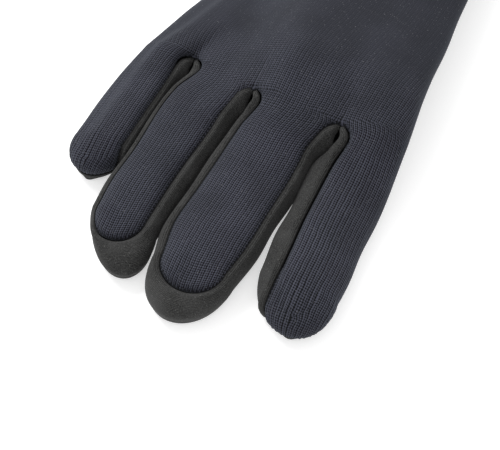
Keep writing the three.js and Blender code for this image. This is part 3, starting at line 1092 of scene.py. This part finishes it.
@dataclass(frozen=True)
class RibKnit:
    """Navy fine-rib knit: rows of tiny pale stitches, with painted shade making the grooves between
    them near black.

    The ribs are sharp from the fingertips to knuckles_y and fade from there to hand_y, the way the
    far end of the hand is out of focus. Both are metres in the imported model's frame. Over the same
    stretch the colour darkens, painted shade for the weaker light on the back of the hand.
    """

    name: str = "navy_rib_knit"
    rib: float = 0.72
    stitch: float = 0.85
    # Painted shade: the near-black colour of the grooves between the ribs and along the seams.
    painted_groove_shade: tuple = rgb(0.0008, 0.0008, 0.0014)
    crest: tuple = rgb(0.053, 0.055, 0.074)
    lint: tuple = rgb(0.14, 0.14, 0.15)
    relief: float = 0.00018
    sway: float = 0.5
    sway_scale: float = 260.0
    leg_height: float = 0.36
    pair_height: float = 0.16
    stitch_height: float = 0.28
    fibre_height: float = 0.45
    fibre_scale: float = 3600.0
    patch_scale: float = 60.0
    patch_shades: tuple[float, float] = (0.84, 1.12)
    speck_scale: float = 2600.0
    speck_share: float = 0.5
    notch_depth: float = 0.4
    knuckles_y: float = -0.052
    hand_y: float = -0.012
    hand_relief: float = 0.12
    # Painted shade: how dark the colour gets at hand_y.
    painted_hand_shade: float = 0.72

    def material(self) -> bpy.types.Material:
        """Builds the finish."""
        nodes = Nodes(self.name)
        across_cloth, along_cloth, _ = nodes.attribute(KNIT)
        distance, along_seam, _ = nodes.attribute(SEAM)
        place = nodes.object_place()
        turn = 2 * math.pi
        sway = nodes.math("MULTIPLY", nodes.noise(place, self.sway_scale), self.sway)
        across_cloth = nodes.math("ADD", across_cloth, sway)
        leg = nodes.math("SINE", nodes.math("MULTIPLY", across_cloth, turn / self.rib))
        pair = nodes.math("SINE", nodes.math("MULTIPLY", across_cloth, turn / self.rib / 2))
        stitch = nodes.math("SINE", nodes.math("MULTIPLY", along_cloth, turn / self.stitch))
        height = nodes.math("MULTIPLY", leg, self.leg_height)
        height = nodes.math("ADD", height, nodes.math("MULTIPLY", pair, self.pair_height))
        height = nodes.math("ADD", height, nodes.math("MULTIPLY", stitch, self.stitch_height))
        fibres = nodes.grain(place, self.fibre_scale, 1.0, self.fibre_height)
        height = nodes.math("ADD", height, fibres)
        along_hand = nodes.split(place)[1]
        relief = nodes.ramp(along_hand, self.knuckles_y, self.hand_y, 1.0, self.hand_relief)
        height = nodes.math("MULTIPLY_ADD", height, relief, 0.5)
        # Painted shade: low parts of the relief take the near-black groove shade, high parts the navy
        # crest.
        share = nodes.ramp(height, 0.12, 0.92, 0.0, 1.0)
        colour = nodes.blend(share, self.painted_groove_shade, self.crest)
        tone_patches_and_shade = nodes.ramp(nodes.noise(place, self.patch_scale), 0.3, 0.7, *self.patch_shades)
        # Painted shade: the colour darkens from the knuckles towards the cuff for the weaker light
        # there; it is multiplied into the random tone patches.
        painted_hand_darkening = nodes.ramp(along_hand, self.knuckles_y, self.hand_y, 1.0, self.painted_hand_shade)
        tone_patches_and_shade = nodes.math("MULTIPLY", tone_patches_and_shade, painted_hand_darkening)
        scaled = nodes.add("ShaderNodeVectorMath", operation="SCALE")
        nodes.wire(colour, scaled.inputs[0])
        nodes.wire(tone_patches_and_shade, scaled.inputs["Scale"])
        specks = nodes.noise(place, self.speck_scale, 0.0)
        specks = nodes.ramp(specks, 0.75, 0.81, 0.0, self.speck_share)
        colour = nodes.blend(specks, scaled.outputs[0], self.lint)
        # Painted shade in the groove along each seam, notched where the ribs end.
        notch = nodes.math("SINE", nodes.math("MULTIPLY", along_seam, turn / self.rib / 2))
        edge = nodes.math("ADD", distance, nodes.math("MULTIPLY", notch, self.notch_depth))
        shade = nodes.ramp(edge, 0.3, 1.0, 0.9, 0.0)
        colour = nodes.blend(shade, colour, self.painted_groove_shade)
        nodes.wire(colour, nodes.shader.inputs["Base Color"])
        nodes.set_matt(roughness=0.92, specular=0.18, sheen=0.08)
        nodes.shader.inputs["Sheen Tint"].default_value = rgb(0.75, 0.85, 1.0)
        nodes.bump(height, self.relief)
        return nodes.material


@dataclass(frozen=True)
class SmoothKnit:
    """Black smooth knit with faint fine lines along the cloth, fibres and a little lint."""

    name: str = "black_smooth_knit"
    line: float = 0.5
    dark: tuple = rgb(0.004, 0.004, 0.0039)
    light: tuple = rgb(0.05, 0.05, 0.0492)
    worn: tuple = rgb(0.06, 0.06, 0.0595)
    lint: tuple = rgb(0.17, 0.17, 0.165)
    relief: float = 0.00008
    sway: float = 0.5
    sway_scale: float = 400.0
    line_height: float = 0.22
    fibre_height: float = 0.95
    fibre_scale: float = 3000.0
    worn_scale: float = 110.0
    worn_share: float = 0.3
    rubbed_share: float = 0.8

    def material(self) -> bpy.types.Material:
        """Builds the finish."""
        nodes = Nodes(self.name)
        across_cloth, _, _ = nodes.attribute(KNIT)
        distance, _, rubbed = nodes.attribute(SEAM)
        place = nodes.object_place()
        turn = 2 * math.pi
        sway = nodes.math("MULTIPLY", nodes.noise(place, self.sway_scale), self.sway)
        across_cloth = nodes.math("ADD", across_cloth, sway)
        line = nodes.math("SINE", nodes.math("MULTIPLY", across_cloth, turn / self.line))
        fibres = nodes.grain(place, self.fibre_scale, 3.0, self.fibre_height)
        height = nodes.math("MULTIPLY_ADD", line, self.line_height, 0.5)
        height = nodes.math("ADD", height, fibres)
        share = nodes.ramp(height, 0.0, 1.0, 0.0, 1.0)
        colour = nodes.blend(share, self.dark, self.light)
        worn = nodes.noise(place, self.worn_scale)
        worn = nodes.ramp(worn, 0.45, 0.75, 0.0, self.worn_share)
        worn = nodes.math("MULTIPLY_ADD", rubbed, self.rubbed_share, worn)
        colour = nodes.blend(worn, colour, self.worn)
        specks = nodes.ramp(nodes.noise(place, 2600, 0.0), 0.76, 0.82, 0.0, 0.5)
        colour = nodes.blend(specks, colour, self.lint)
        shade = nodes.ramp(distance, 0.1, 0.6, 0.7, 0.0)
        colour = nodes.blend(shade, colour, self.dark)
        nodes.wire(colour, nodes.shader.inputs["Base Color"])
        nodes.set_matt(roughness=0.95, specular=0.15, sheen=0.06)
        nodes.bump(height, self.relief)
        return nodes.material


@dataclass(frozen=True)
class PaleFloor:
    """Plain pale matt floor."""

    name: str = "pale_floor"
    colour: tuple = rgb(0.75, 0.75, 0.75)
    glow: float = 0.66

    def material(self) -> bpy.types.Material:
        """Builds the finish."""
        nodes = Nodes(self.name)
        nodes.shader.inputs["Base Color"].default_value = self.colour
        nodes.shader.inputs["Emission Color"].default_value = self.colour
        nodes.shader.inputs["Emission Strength"].default_value = self.glow
        nodes.shader.inputs["Roughness"].default_value = 0.9
        nodes.shader.inputs["Specular IOR Level"].default_value = 0.1
        return nodes.material


@dataclass
class Panel:
    """A sewn piece of the glove's cloth."""

    shape: GloveShape
    builder: ClothBuilder
    seams: SeamLines
    finish: bpy.types.Material
    wall: float = 2.0

    def finished(self, piece: bpy.types.Object, node: str, slot: str) -> bpy.types.Object:
        """Gives the piece its wall, finish and body, and hides the imported part of its node."""
        self.builder.thicken(piece, self.wall)
        piece.data.materials.clear()
        piece.data.materials.append(self.finish)
        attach(piece, "root")
        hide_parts(node)
        return piece


@dataclass
class BackPanel(Panel):
    """Navy rib knit over the back of the hand and fingers and round the outer sides."""

    edge_dip: float = 1.15
    edge_width: float = 1.5
    ease_reach: float = 14.0
    ease_edge: float = 0.5
    ease_turns: int = 60
    wide_rib: float = 1.8
    wide_rib_height: float = 0.17
    wide_rib_from: float = 9.0
    wide_rib_blend: float = 14.0
    wide_rib_tips: ClassVar[tuple] = ((0, -60.0, -33.0), (3, 24.0, 60.0))

    def strips(self) -> list[Strip]:
        """The cloth's strips, with knit coordinates that run on from the hand to the fingers."""
        shape = self.shape
        hand_from = int(np.argmin(np.abs(shape.hand_y - shape.hem_y)))
        tops, widths = [], []
        for index, finger in enumerate(FINGERS):
            shares = gathered(finger.top_columns)
            tops.append(shape.hand_strip("top", index, shares))
            widths.append(run_length(tops[-1], 1))
        starts = [np.zeros_like(widths[0][:, :1])]
        for width in widths:
            starts.append(starts[-1] + width[:, -1:])
        centre = starts[2]
        strips = []
        for index, finger in enumerate(FINGERS):
            across_hand = starts[index] + widths[index] - centre
            along_hand = run_length(tops[index], 0)
            strips.append(self._strip(tops[index], across_hand, along_hand, hand_from))
            middle = finger.top_columns // 2
            points = shape.finger_strip("top", index, gathered(finger.top_columns))
            across_finger, along_finger = self._finger_knit(index, points)
            across_finger += across_hand[-1, middle]
            along_finger += along_hand[-1:]
            strips.append(self._strip(points, across_finger, along_finger))
            for side, edge in ((Side.LEFT, 0), (Side.RIGHT, -1)):
                outer = finger.crotch(side) is None
                if outer:
                    strips += self._outer_side(
                        index, side, hand_from, across_hand[:, edge:][:, :1],
                        along_hand[:, edge:][:, :1], across_finger[:, edge:][:, :1],
                        along_finger[:, edge:][:, :1],
                    )
                elif finger.wraps_tip:
                    strips.append(self._wrap(
                        index, side, across_finger[:, edge:][:, :1],
                        along_finger[:, edge:][:, :1],
                    ))
        return strips

    def _finger_knit(self, index: int, points: np.ndarray) -> tuple[np.ndarray, np.ndarray]:
        """Knit coordinates of a finger's top, from the middle of its root.

        Args:
            index: Which finger.
            points: Rows x columns of the top's points.

        Returns:
            The coordinates across and along the cloth. Round a wrapped tip they run straight on.
        """
        finger = FINGERS[index]
        middle = finger.top_columns // 2
        width = run_length(points, 1)
        width -= width[:, middle:middle + 1]
        depth = run_length(points, 0)
        stretch = mix(1, 1 / finger.rib_stretch, smooth(depth[:, middle:middle + 1] / 20))
        across_cloth = width * stretch
        if finger.wraps_tip:
            last = len(self.shape.finger_depths(finger)) - 1
            start, tip = points[last], points[last + 1:]
            across_cloth[last + 1:] = np.interp(tip[..., 0], start[:, 0], across_cloth[last])
            depth[last + 1:] = depth[last] + start[:, 1] - tip[..., 1]
        return across_cloth, depth

    def _side_knit(
        self, index: Optional[int], points: np.ndarray, start: Values, along: Values, side: Side,
    ) -> tuple[np.ndarray, np.ndarray]:
        """Knit coordinates of a side, whose ribs turn to run down over the tip.

        Args:
            index: Which finger, or None for the hand.
            points: The side's points.
            start: Knit coordinate across the cloth at the side's top.
            along: Knit coordinate along the cloth there.
            side: Which side.

        Returns:
            Coordinates across and along the cloth.
        """
        run = run_length(points, 1)
        turn = np.zeros(len(points)) if index is None else self.shape.tip_turn(FINGERS[index])
        across_cloth = start + side.value * run * column(np.cos(turn))
        return across_cloth, along + run * column(np.sin(turn))

    @staticmethod
    def _strip(
        points: np.ndarray, across_cloth: np.ndarray, along_cloth: np.ndarray,
        first_row: int = 0, flip: bool = False,
    ) -> Strip:
        """A strip with its knit coordinates, from its first row on."""
        knit = np.stack([across_cloth, along_cloth + across_cloth * 0], axis=2)
        return Strip(points[first_row:], knit[first_row:], flip)

    def _outer_side(
        self, index: int, side: Side, hand_from: int, hand_across: Values, hand_along: Values,
        across_f: Values, along_f: Values,
    ) -> list[Strip]:
        """The cloth that comes down over an outer side of the hand and of its finger.

        Args:
            index: Which finger.
            side: Which side.
            hand_from: First row of the hand that the cloth covers.
            hand_across: Knit coordinate across the cloth at the top of the hand's side.
            hand_along: Knit coordinate along the cloth there.
            across_f: Knit coordinate across the cloth at the top of the finger's side.
            along_f: Knit coordinate along the cloth there.

        Returns:
            The hand's strip and the finger's strip.
        """
        shape = self.shape
        flip = side is Side.LEFT
        made = []
        for section, which, first, start, along in (
            (shape.hand, None, hand_from, hand_across, hand_along),
            (shape.fingers[index], index, 0, across_f, along_f),
        ):
            points = shape.side_strip(section, side, self.outer_shares(section, which), outer=True)
            knit = self._side_knit(which, points, start, along, side)
            made.append(self._strip(points, *knit, first, flip))
        return made

    def outer_shares(self, section: Section, index: Optional[int]) -> np.ndarray:
        """Places across an outer side, from the top down to the palm's edge."""
        columns = gathered(self.shape.side_columns, 0.3)
        rows = len(section.top)
        ends = np.full(rows, float(EDGE_PATCHES))
        if index is not None:
            ends = palm_edge(self.shape, index)
        return columns[None] / EDGE_PATCHES * ends[:, None]

    def _wrap(self, index: int, side: Side, start: Values, along: Values) -> Strip:
        """The cloth that comes down over the inner side near the tip, above the side wall."""
        shape = self.shape
        section = shape.fingers[index]
        ends = wall_edge(shape, index)
        first = max(0, int(np.argmax(ends > 0)) - 1)
        columns = gathered(shape.side_columns, 0.3) / EDGE_PATCHES
        points = shape.side_strip(section, side, columns[None] * ends[:, None], outer=False)
        knit = self._side_knit(index, points, start, along, side)
        return self._strip(points, *knit, first, side is Side.LEFT)

    def corrugation(self, places: np.ndarray, knit: np.ndarray) -> np.ndarray:
        """Coarse ribs near the tips of the little and index fingers."""
        total = np.zeros(len(places))
        for index, low_x, high_x in self.wide_rib_tips:
            start = FINGERS[index].rows[-1].y + self.wide_rib_from
            here = (places[:, 0] > low_x) & (places[:, 0] < high_x)
            share = smooth((start - places[:, 1]) / self.wide_rib_blend) * here
            wave = np.sin(2 * math.pi * knit[:, 0] / self.wide_rib)
            total += share * self.wide_rib_height * wave
        return total

    def _ease_crotches(self, piece: bpy.types.Object) -> None:
        """Evens out the cloth beside each crotch and leaves its sewn edge where it is."""
        places = self.builder.layout.from_metres(vertex_array(piece))
        from_seam = self.seams.nearest(places)[0]
        weights = np.zeros(len(places))
        for crotch in (LITTLE_RING, RING_MIDDLE, MIDDLE_INDEX):
            away = np.hypot(places[:, 0] - crotch.x, places[:, 1] - crotch.y)
            weights = np.maximum(weights, smooth((self.ease_reach - away) / (self.ease_reach / 2)))
        self.builder.relax(piece, weights * smooth(from_seam / self.ease_edge), self.ease_turns)

    def build(self) -> bpy.types.Object:
        """Models the back panel."""
        piece = self.builder.piece("back_panel_knit", self.strips())
        self._ease_crotches(piece)
        distance = self.builder.mark_seams(piece, self.seams)
        knit = read_attribute(piece, KNIT)

        def push(places: np.ndarray) -> np.ndarray:
            """Rolled seam edges, coarse ribs at two tips and soft unevenness."""
            dip = -self.edge_dip * bell(distance, self.edge_width)
            wave = 0.16 * soft_noise(places, 16, 3) + 0.3 * soft_noise(places, 45, 4)
            wave *= smooth(places[:, 2] / 4) * smooth(distance / 6)
            return dip + wave + self.corrugation(places, knit) * smooth(distance / 2)

        self.builder.sculpt(piece, push)
        return self.finished(piece, "back_panel", "rib_knit")


def palm_edge(shape: GloveShape, index: int) -> np.ndarray:
    """Where the palm's edge runs on a finger's sides, from 4 at the low seam upwards."""
    section = shape.fingers[index]
    finger = FINGERS[index]
    if not finger.wraps_tip:
        return np.full(len(section.top), float(EDGE_PATCHES))
    rise = 1.0 if finger.name == "little" else 0.45
    y = section.left[:, 2, 1] if finger.crotch(Side.LEFT) is None else section.right[:, 2, 1]
    share = smooth((finger.rows[-1].y + 4 - y) / 10)
    return EDGE_PATCHES - rise * share


def wall_edge(shape: GloveShape, index: int) -> np.ndarray:
    """Where the back panel's edge runs on an inner side, from 0 at the top seam downwards.

    Seen from above, the seam runs straight on over the round tip until it meets the palm.

    Args:
        shape: The glove's outer surface.
        index: Which finger.

    Returns:
        A place on the side edge for each of the finger's rows.
    """
    section = shape.fingers[index]
    finger = FINGERS[index]
    inner_side = Side.RIGHT if finger.crotch(Side.LEFT) is None else Side.LEFT
    inner = section.right if inner_side is Side.RIGHT else section.left
    straight = len(shape.finger_depths(finger)) - 1
    places = np.tile(np.linspace(0, EDGE_PATCHES, 161), (len(inner), 1))
    x = shape.side_strip(section, inner_side, places, False)[..., 0] * inner_side.value
    reached = x >= inner[straight, 0, 0] * inner_side.value
    first = np.where(reached.any(axis=1), reached.argmax(axis=1), places.shape[1] - 1)
    ends = palm_edge(shape, index)
    edge = np.minimum(places[0, first], ends)
    edge[:straight + 1] = 0
    edge[straight + 1:] = np.maximum.accumulate(edge[straight + 1:])
    kernel = np.array([1, 2, 3, 2, 1]) / 9
    eased = np.convolve(np.pad(edge, 2, mode="edge"), kernel, mode="valid")
    return np.minimum(eased, ends)


@dataclass
class PalmPanel(Panel):
    """Black smooth knit under the hand and fingers, open where the thumb leaves it."""

    opening_columns: ClassVar[tuple[int, int]] = (10, 14)
    opening_y: ClassVar[tuple[float, float]] = (58.0, 98.0)

    def build(self) -> bpy.types.Object:
        """Models the palm."""
        shape = self.shape
        hand_from = int(np.argmin(np.abs(shape.hand_y - shape.hem_y)))
        columns = gathered(shape.bottom_columns)
        strips = []
        for index, finger in enumerate(FINGERS):
            points = shape.hand_strip("bottom", index, columns)
            strips.append(self._strip(points, index, columns, hand_from))
            points = shape.finger_strip("bottom", index, columns)
            strips.append(self._strip(points, None, columns, 0))
            if finger.wraps_tip:
                strips += self._raised_edges(index)
        piece = self.builder.piece("palm_panel_knit", strips)
        distance = self.builder.mark_seams(piece, self.seams)

        def push(places: np.ndarray) -> np.ndarray:
            """Soft unevenness and a dip along the seams."""
            return 0.2 * soft_noise(places, 22, 8) * smooth(distance / 5) - 0.5 * bell(distance, 0.9)

        self.builder.sculpt(piece, push)
        return self.finished(piece, "palm_panel", "smooth_knit")

    def _strip(
        self, points: np.ndarray, index: Optional[int], columns: np.ndarray, first: int,
    ) -> Strip:
        """A strip of the underside, without the faces where the thumb leaves the palm.

        Args:
            points: The strip's points.
            index: The finger whose part of the hand this is, or None for a finger's own strip.
            columns: Places of the strip's columns, counted in patches.
            first: First row that the cloth covers.

        Returns:
            The strip.
        """
        points = points.copy()
        points[..., 2] = np.maximum(points[..., 2], self.shape.lift(points[..., 0], points[..., 1]))
        knit = np.stack([points[..., 0], points[..., 1]], axis=2)
        keep = None
        if index is not None:
            place = EDGE_PATCHES * index + (columns[1:] + columns[:-1]) / 2
            y = (points[1:, :-1, 1] + points[:-1, 1:, 1]) / 2
            in_columns = (place > self.opening_columns[0]) & (place < self.opening_columns[1])
            in_rows = (y > self.opening_y[0]) & (y < self.opening_y[1])
            keep = ~(in_rows & in_columns[None])[first:]
        return Strip(points[first:], knit[first:], flip=True, keep=keep)

    def _raised_edges(self, index: int) -> list[Strip]:
        """The palm's edge where it comes up over a finger's tip.

        Args:
            index: Which finger.

        Returns:
            One strip for each side.
        """
        shape = self.shape
        section = shape.fingers[index]
        starts = palm_edge(shape, index)
        first = max(0, int(np.argmax(starts < EDGE_PATCHES)) - 1)
        made = []
        for side in Side:
            outer = FINGERS[index].crotch(side) is None
            shares = mix(starts[:, None], EDGE_PATCHES, np.linspace(0, 1, 7)[None])
            points = shape.side_strip(section, side, shares, outer)
            knit = np.stack([run_length(points, 1), points[..., 1]], axis=2)
            made.append(Strip(points[first:], knit[first:], flip=side is Side.LEFT))
        return made


@dataclass
class Sidewall(Panel):
    """Black smooth knit along the inner sides of a finger, and round the tip where it does."""

    index: int = 0
    ridge: float = 0.5
    ridge_at: float = 1.5
    ridge_width: float = 1.0
    edge_dip: float = 0.9
    crease: float = 1.3

    def build(self) -> bpy.types.Object:
        """Models one finger's wall."""
        shape = self.shape
        finger = FINGERS[self.index]
        section = shape.fingers[self.index]
        columns = gathered(shape.side_columns, 0.5)
        strips, folds = [], []
        for side in Side:
            crotch = finger.crotch(side)
            if crotch is None:
                continue
            starts = wall_edge(shape, self.index) if finger.wraps_tip else np.zeros(len(section.top))
            ends = palm_edge(shape, self.index)
            shares = starts[:, None] + columns[None] / EDGE_PATCHES * (ends - starts)[:, None]
            points = shape.side_strip(section, side, shares, outer=False)
            along = run_length(points, 0)
            along = along if side is Side.LEFT else 2 * along[-1:] - along
            knit = np.stack([run_length(points, 1), along], axis=2)
            strips.append(Strip(points, knit, flip=side is Side.LEFT))
            folds.append(points[0])
        piece = self.builder.piece(f"{finger.name}_sidewall_knit", strips)
        distance = self.builder.mark_seams(piece, self.seams)
        fold_lines = SeamLines()
        for fold in folds:
            fold_lines.add(fold)

        def push(places: np.ndarray) -> np.ndarray:
            """A rolled ridge beside the seam, a crease at the crotch and soft unevenness."""
            fold = fold_lines.nearest(places)[0]
            roll = self.ridge * bell(distance - self.ridge_at, self.ridge_width)
            dip = -self.edge_dip * bell(distance, 0.7)
            crease = -self.crease * bell(fold, 0.9) + 0.5 * bell(fold - 2.6, 1.4)
            wave = 0.22 * soft_noise(places, 12, 20 + self.index) * smooth(distance / 4)
            return roll + dip + crease + wave

        self.builder.sculpt(piece, push)
        return self.finished(piece, f"{finger.name}_sidewall", "smooth_knit")


@dataclass
class ThumbPiece(Panel):
    """Black thumb that leaves the palm through its opening and lies folded forward under it."""

    inset: float = 4.0
    row_steps: int = 9

    def build(self) -> bpy.types.Object:
        """Models the thumb."""
        shape = self.shape
        sides = {}
        for side in Side:
            x = np.array([row.x + side.value * (row.half_width - self.inset) for row in THUMB_ROWS])
            seam = np.array([[0, row.top_y, row.top_z] for row in THUMB_ROWS], dtype=float)
            low = np.array([[0, row.low_y, row.low_z] for row in THUMB_ROWS], dtype=float)
            points = mix(seam[:, None], low[:, None], EVEN_SHARES[None, :, None])
            points[..., 0] = x[:, None] + side.value * self.inset * SIDE_BULGE
            sides[side] = points
        straight = Section(
            mix(sides[Side.LEFT][:, :1], sides[Side.RIGHT][:, :1], EVEN_SHARES[None, :, None]),
            sides[Side.RIGHT],
            mix(sides[Side.LEFT][:, -1:], sides[Side.RIGHT][:, -1:], EVEN_SHARES[None, :, None]),
            sides[Side.LEFT],
        )
        straight = self._opening().joined(straight)
        last = THUMB_ROWS[-1]
        tip = shape.tip_sections(
            straight.left[-1], straight.right[-1], THUMB_TIP, last.x, last.top_z,
        )
        strips = []
        for name, flip in (("top", False), ("right", False), ("bottom", True), ("left", True)):
            body = self._dense_rows(getattr(straight, name))
            points = np.concatenate([body, getattr(tip, name)])
            points = self._dense_columns(points, name, straight, tip)
            knit = np.stack([run_length(points, 1), run_length(points, 0)], axis=2)
            strips.append(Strip(points, knit, flip))
        piece = self.builder.piece("thumb_knit", strips)
        distance = self.builder.mark_seams(piece, self.seams)
        self.builder.sculpt(
            piece, lambda places: 0.25 * soft_noise(places, 14, 40) * smooth(distance / 5),
        )
        return self.finished(piece, "thumb", "smooth_knit")

    def _opening(self) -> Section:
        """The thumb's first section: the edge of the opening in the palm."""
        first, last = PalmPanel.opening_columns
        ys = np.linspace(*PalmPanel.opening_y, EDGE_PATCHES + 1)
        bottom = self.shape.hand_controls(ys).bottom
        near, far = bottom[0, first:last + 1], bottom[-1, first:last + 1]
        return Section(near[None], bottom[:, last][None], far[None], bottom[:, first][None])

    def _dense_rows(self, controls: np.ndarray) -> np.ndarray:
        """More rows between the thumb's sections, on smooth curves."""
        turned = controls.transpose(1, 0, 2)
        places = np.linspace(0, len(controls) - 1, (len(controls) - 1) * self.row_steps + 1)
        return across(turned, np.tile(places, (len(turned), 1))).transpose(1, 0, 2)

    def _dense_columns(
        self, points: np.ndarray, name: str, straight: Section, tip: Section,
    ) -> np.ndarray:
        """More columns along one edge, which runs on smoothly into its neighbours.

        Args:
            points: The edge's points.
            name: Which edge.
            straight: The thumb's sections without its tip.
            tip: The tip's sections.

        Returns:
            Rows x columns x 3.
        """
        before = {"top": ("left", 1), "right": ("top", -2), "bottom": ("left", -2),
                  "left": ("top", 1)}[name]
        after = {"top": ("right", 1), "right": ("bottom", -2), "bottom": ("right", -2),
                 "left": ("bottom", 1)}[name]

        def beside(which: tuple[str, int]) -> np.ndarray:
            """The neighbouring edge's point next to the shared corner, for each row."""
            edge = self._dense_rows(getattr(straight, which[0]))
            return np.concatenate([edge, getattr(tip, which[0])])[:, which[1]]

        shares = np.tile(gathered(self.shape.side_columns, 0.2), (len(points), 1))
        return across(points, shares, beside(before), beside(after))


@dataclass
class CuffBand(Panel):
    """Plain hem round the open end."""

    proud: float = 0.4
    lip: float = 2.2
    lip_roll: float = 0.6
    stitch_dip: float = 0.5
    start_dip: float = 0.9
    unevenness: float = 0.1

    def build(self) -> bpy.types.Object:
        """Models the hem."""
        shape = self.shape
        ys = np.concatenate([
            np.linspace(shape.cuff_y, shape.cuff_y - self.lip, 7)[:-1],
            np.linspace(shape.cuff_y - self.lip, shape.hem_y + 1.6, 12)[:-1],
            np.linspace(shape.hem_y + 1.6, shape.hem_y, 6),
        ])
        rim = replace(shape)
        rim.hand_y = ys
        rim.hand = rim.hand_controls(ys)
        rim.hand_open = np.zeros(len(ys))
        strips = []
        for index, finger in enumerate(FINGERS):
            for name, columns in (("top", finger.top_columns), ("bottom", shape.bottom_columns)):
                points = rim.hand_strip(name, index, gathered(columns))
                knit = np.stack([points[..., 0], points[..., 1]], axis=2)
                strips.append(Strip(points, knit, flip=name == "bottom"))
        for side in Side:
            shares = np.tile(gathered(shape.side_columns, 0.3), (len(ys), 1))
            points = rim.side_strip(rim.hand, side, shares, outer=True)
            knit = np.stack([points[..., 2], points[..., 1]], axis=2)
            strips.append(Strip(points, knit, flip=side is Side.LEFT))
        piece = self.builder.piece("cuff_band_knit", strips)
        self.builder.mark_seams(piece, self.seams)

        def push(places: np.ndarray) -> np.ndarray:
            """Stands a little proud, rolls in at the open end and dips at the hem's stitches."""
            from_end = shape.cuff_y - places[:, 1]
            roll = np.clip(1 - from_end / self.lip, 0, 1)
            lip = self.lip * self.lip_roll * (1 - np.sqrt(1 - roll**2))
            dip = self.stitch_dip * bell(places[:, 1] - shape.hem_y - 2.4, 0.7)
            start = self.start_dip * bell(places[:, 1] - shape.hem_y, 0.7)
            return self.proud - lip - dip - start + self.unevenness * soft_noise(places, 15, 60)

        self.builder.sculpt(piece, push)
        return self.finished(piece, "cuff_band", "smooth_knit")


@dataclass
class Studio:
    """Camera, lights and floor; look_at is in the glove's layout."""

    layout: Layout
    azimuth: float = 25.0
    elevation: float = 55.0
    distance: float = 0.450
    lens: float = 97.2
    sensor: float = 36.0
    look_at: tuple = (14.0, -43.5, 0.0)
    floor_size: float = 6.0
    world_light: float = 0.75

    @property
    def target(self) -> Vector:
        """The point that the camera and the lights look at, in metres."""
        return Vector(self.layout.to_frame(np.array(self.look_at)))

    def camera(self) -> None:
        """Places the camera at the photograph's angle."""
        bpy.ops.object.camera_add()
        camera = bpy.context.active_object
        camera.name = "camera"
        azimuth, elevation = math.radians(self.azimuth), math.radians(self.elevation)
        back = Vector((
            math.sin(azimuth) * math.cos(elevation),
            -math.cos(azimuth) * math.cos(elevation),
            math.sin(elevation),
        ))
        camera.location = self.target + back * self.distance
        camera.rotation_euler = (-back).to_track_quat("-Z", "Y").to_euler()
        camera.data.lens = self.lens
        camera.data.sensor_width = self.sensor
        camera.data.clip_start = 0.01
        bpy.context.scene.camera = camera

    def floor(self) -> None:
        """Adds the pale floor just under the glove."""
        deselect()
        bpy.ops.mesh.primitive_plane_add(size=self.floor_size, location=(0, 0, -0.0001))
        floor = bpy.context.active_object
        floor.name = "floor"
        floor.data.materials.append(PaleFloor().material())

    def lights(self) -> None:
        """Adds a soft light from the upper left behind, and pale light all round."""
        world = bpy.data.worlds.new("studio")
        bpy.context.scene.world = world
        world.use_nodes = True
        background = world.node_tree.nodes["Background"]
        background.inputs["Color"].default_value = rgb(1, 1, 1)
        background.inputs["Strength"].default_value = self.world_light
        bpy.context.scene.view_settings.view_transform = "Standard"
        bpy.context.scene.view_settings.look = "None"
        for name, place, size, power in (
            ("key", (-0.75, 0.45, 0.9), 0.8, 16.0),
            ("front", (0.3, -0.9, 1.1), 1.2, 4.0),
        ):
            bpy.ops.object.light_add(type="AREA", location=place)
            light = bpy.context.active_object
            light.name = name
            light.data.size = size
            light.data.energy = power
            direction = self.target - Vector(place)
            light.rotation_euler = direction.to_track_quat("-Z", "Y").to_euler()


def seam_lines(shape: GloveShape) -> SeamLines:
    """Every seam between two panels.

    Args:
        shape: The glove's outer surface.

    Returns:
        The seams.
    """
    seams = SeamLines()
    for index, finger in enumerate(FINGERS):
        section = shape.fingers[index]
        low_shares = palm_edge(shape, index)[:, None]
        for side in Side:
            outer = finger.crotch(side) is None
            seams.add(shape.side_strip(section, side, low_shares, outer)[:, 0])
            if not outer:
                shares = wall_edge(shape, index) if finger.wraps_tip else np.zeros(len(section.top))
                seams.add(shape.side_strip(section, side, shares[:, None], False)[:, 0])
    for side in Side:
        seams.add((shape.hand.left if side is Side.LEFT else shape.hand.right)[:, -1])
    hem = shape.hand_controls(np.array([shape.hem_y]))
    ring = np.concatenate([hem.top[0], hem.right[0], hem.bottom[0, ::-1], hem.left[0, ::-1]])
    seams.add(ring)
    return seams


def main() -> None:
    """Builds the studio and the glove's panels in order and reports each."""
    logging.basicConfig(level=logging.INFO, format="%(name)s: %(message)s")
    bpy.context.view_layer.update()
    layout = Layout.from_frame()
    studio = Studio(layout)
    studio.camera()
    studio.lights()
    studio.floor()
    shape = GloveShape()
    builder = ClothBuilder(layout)
    seams = seam_lines(shape)
    navy = RibKnit().material()
    black = SmoothKnit().material()
    panels = [BackPanel(shape, builder, seams, navy), PalmPanel(shape, builder, seams, black)]
    for index in range(len(FINGERS)):
        panels.append(Sidewall(shape, builder, seams, black, index=index))
    panels.append(ThumbPiece(shape, builder, seams, black))
    panels.append(CuffBand(shape, builder, seams, black, wall=3.0))
    for panel in panels:
        piece = panel.build()
        LOG.info("%s: %d faces", piece.name, len(piece.data.polygons))


if __name__ == "__main__":
    main()
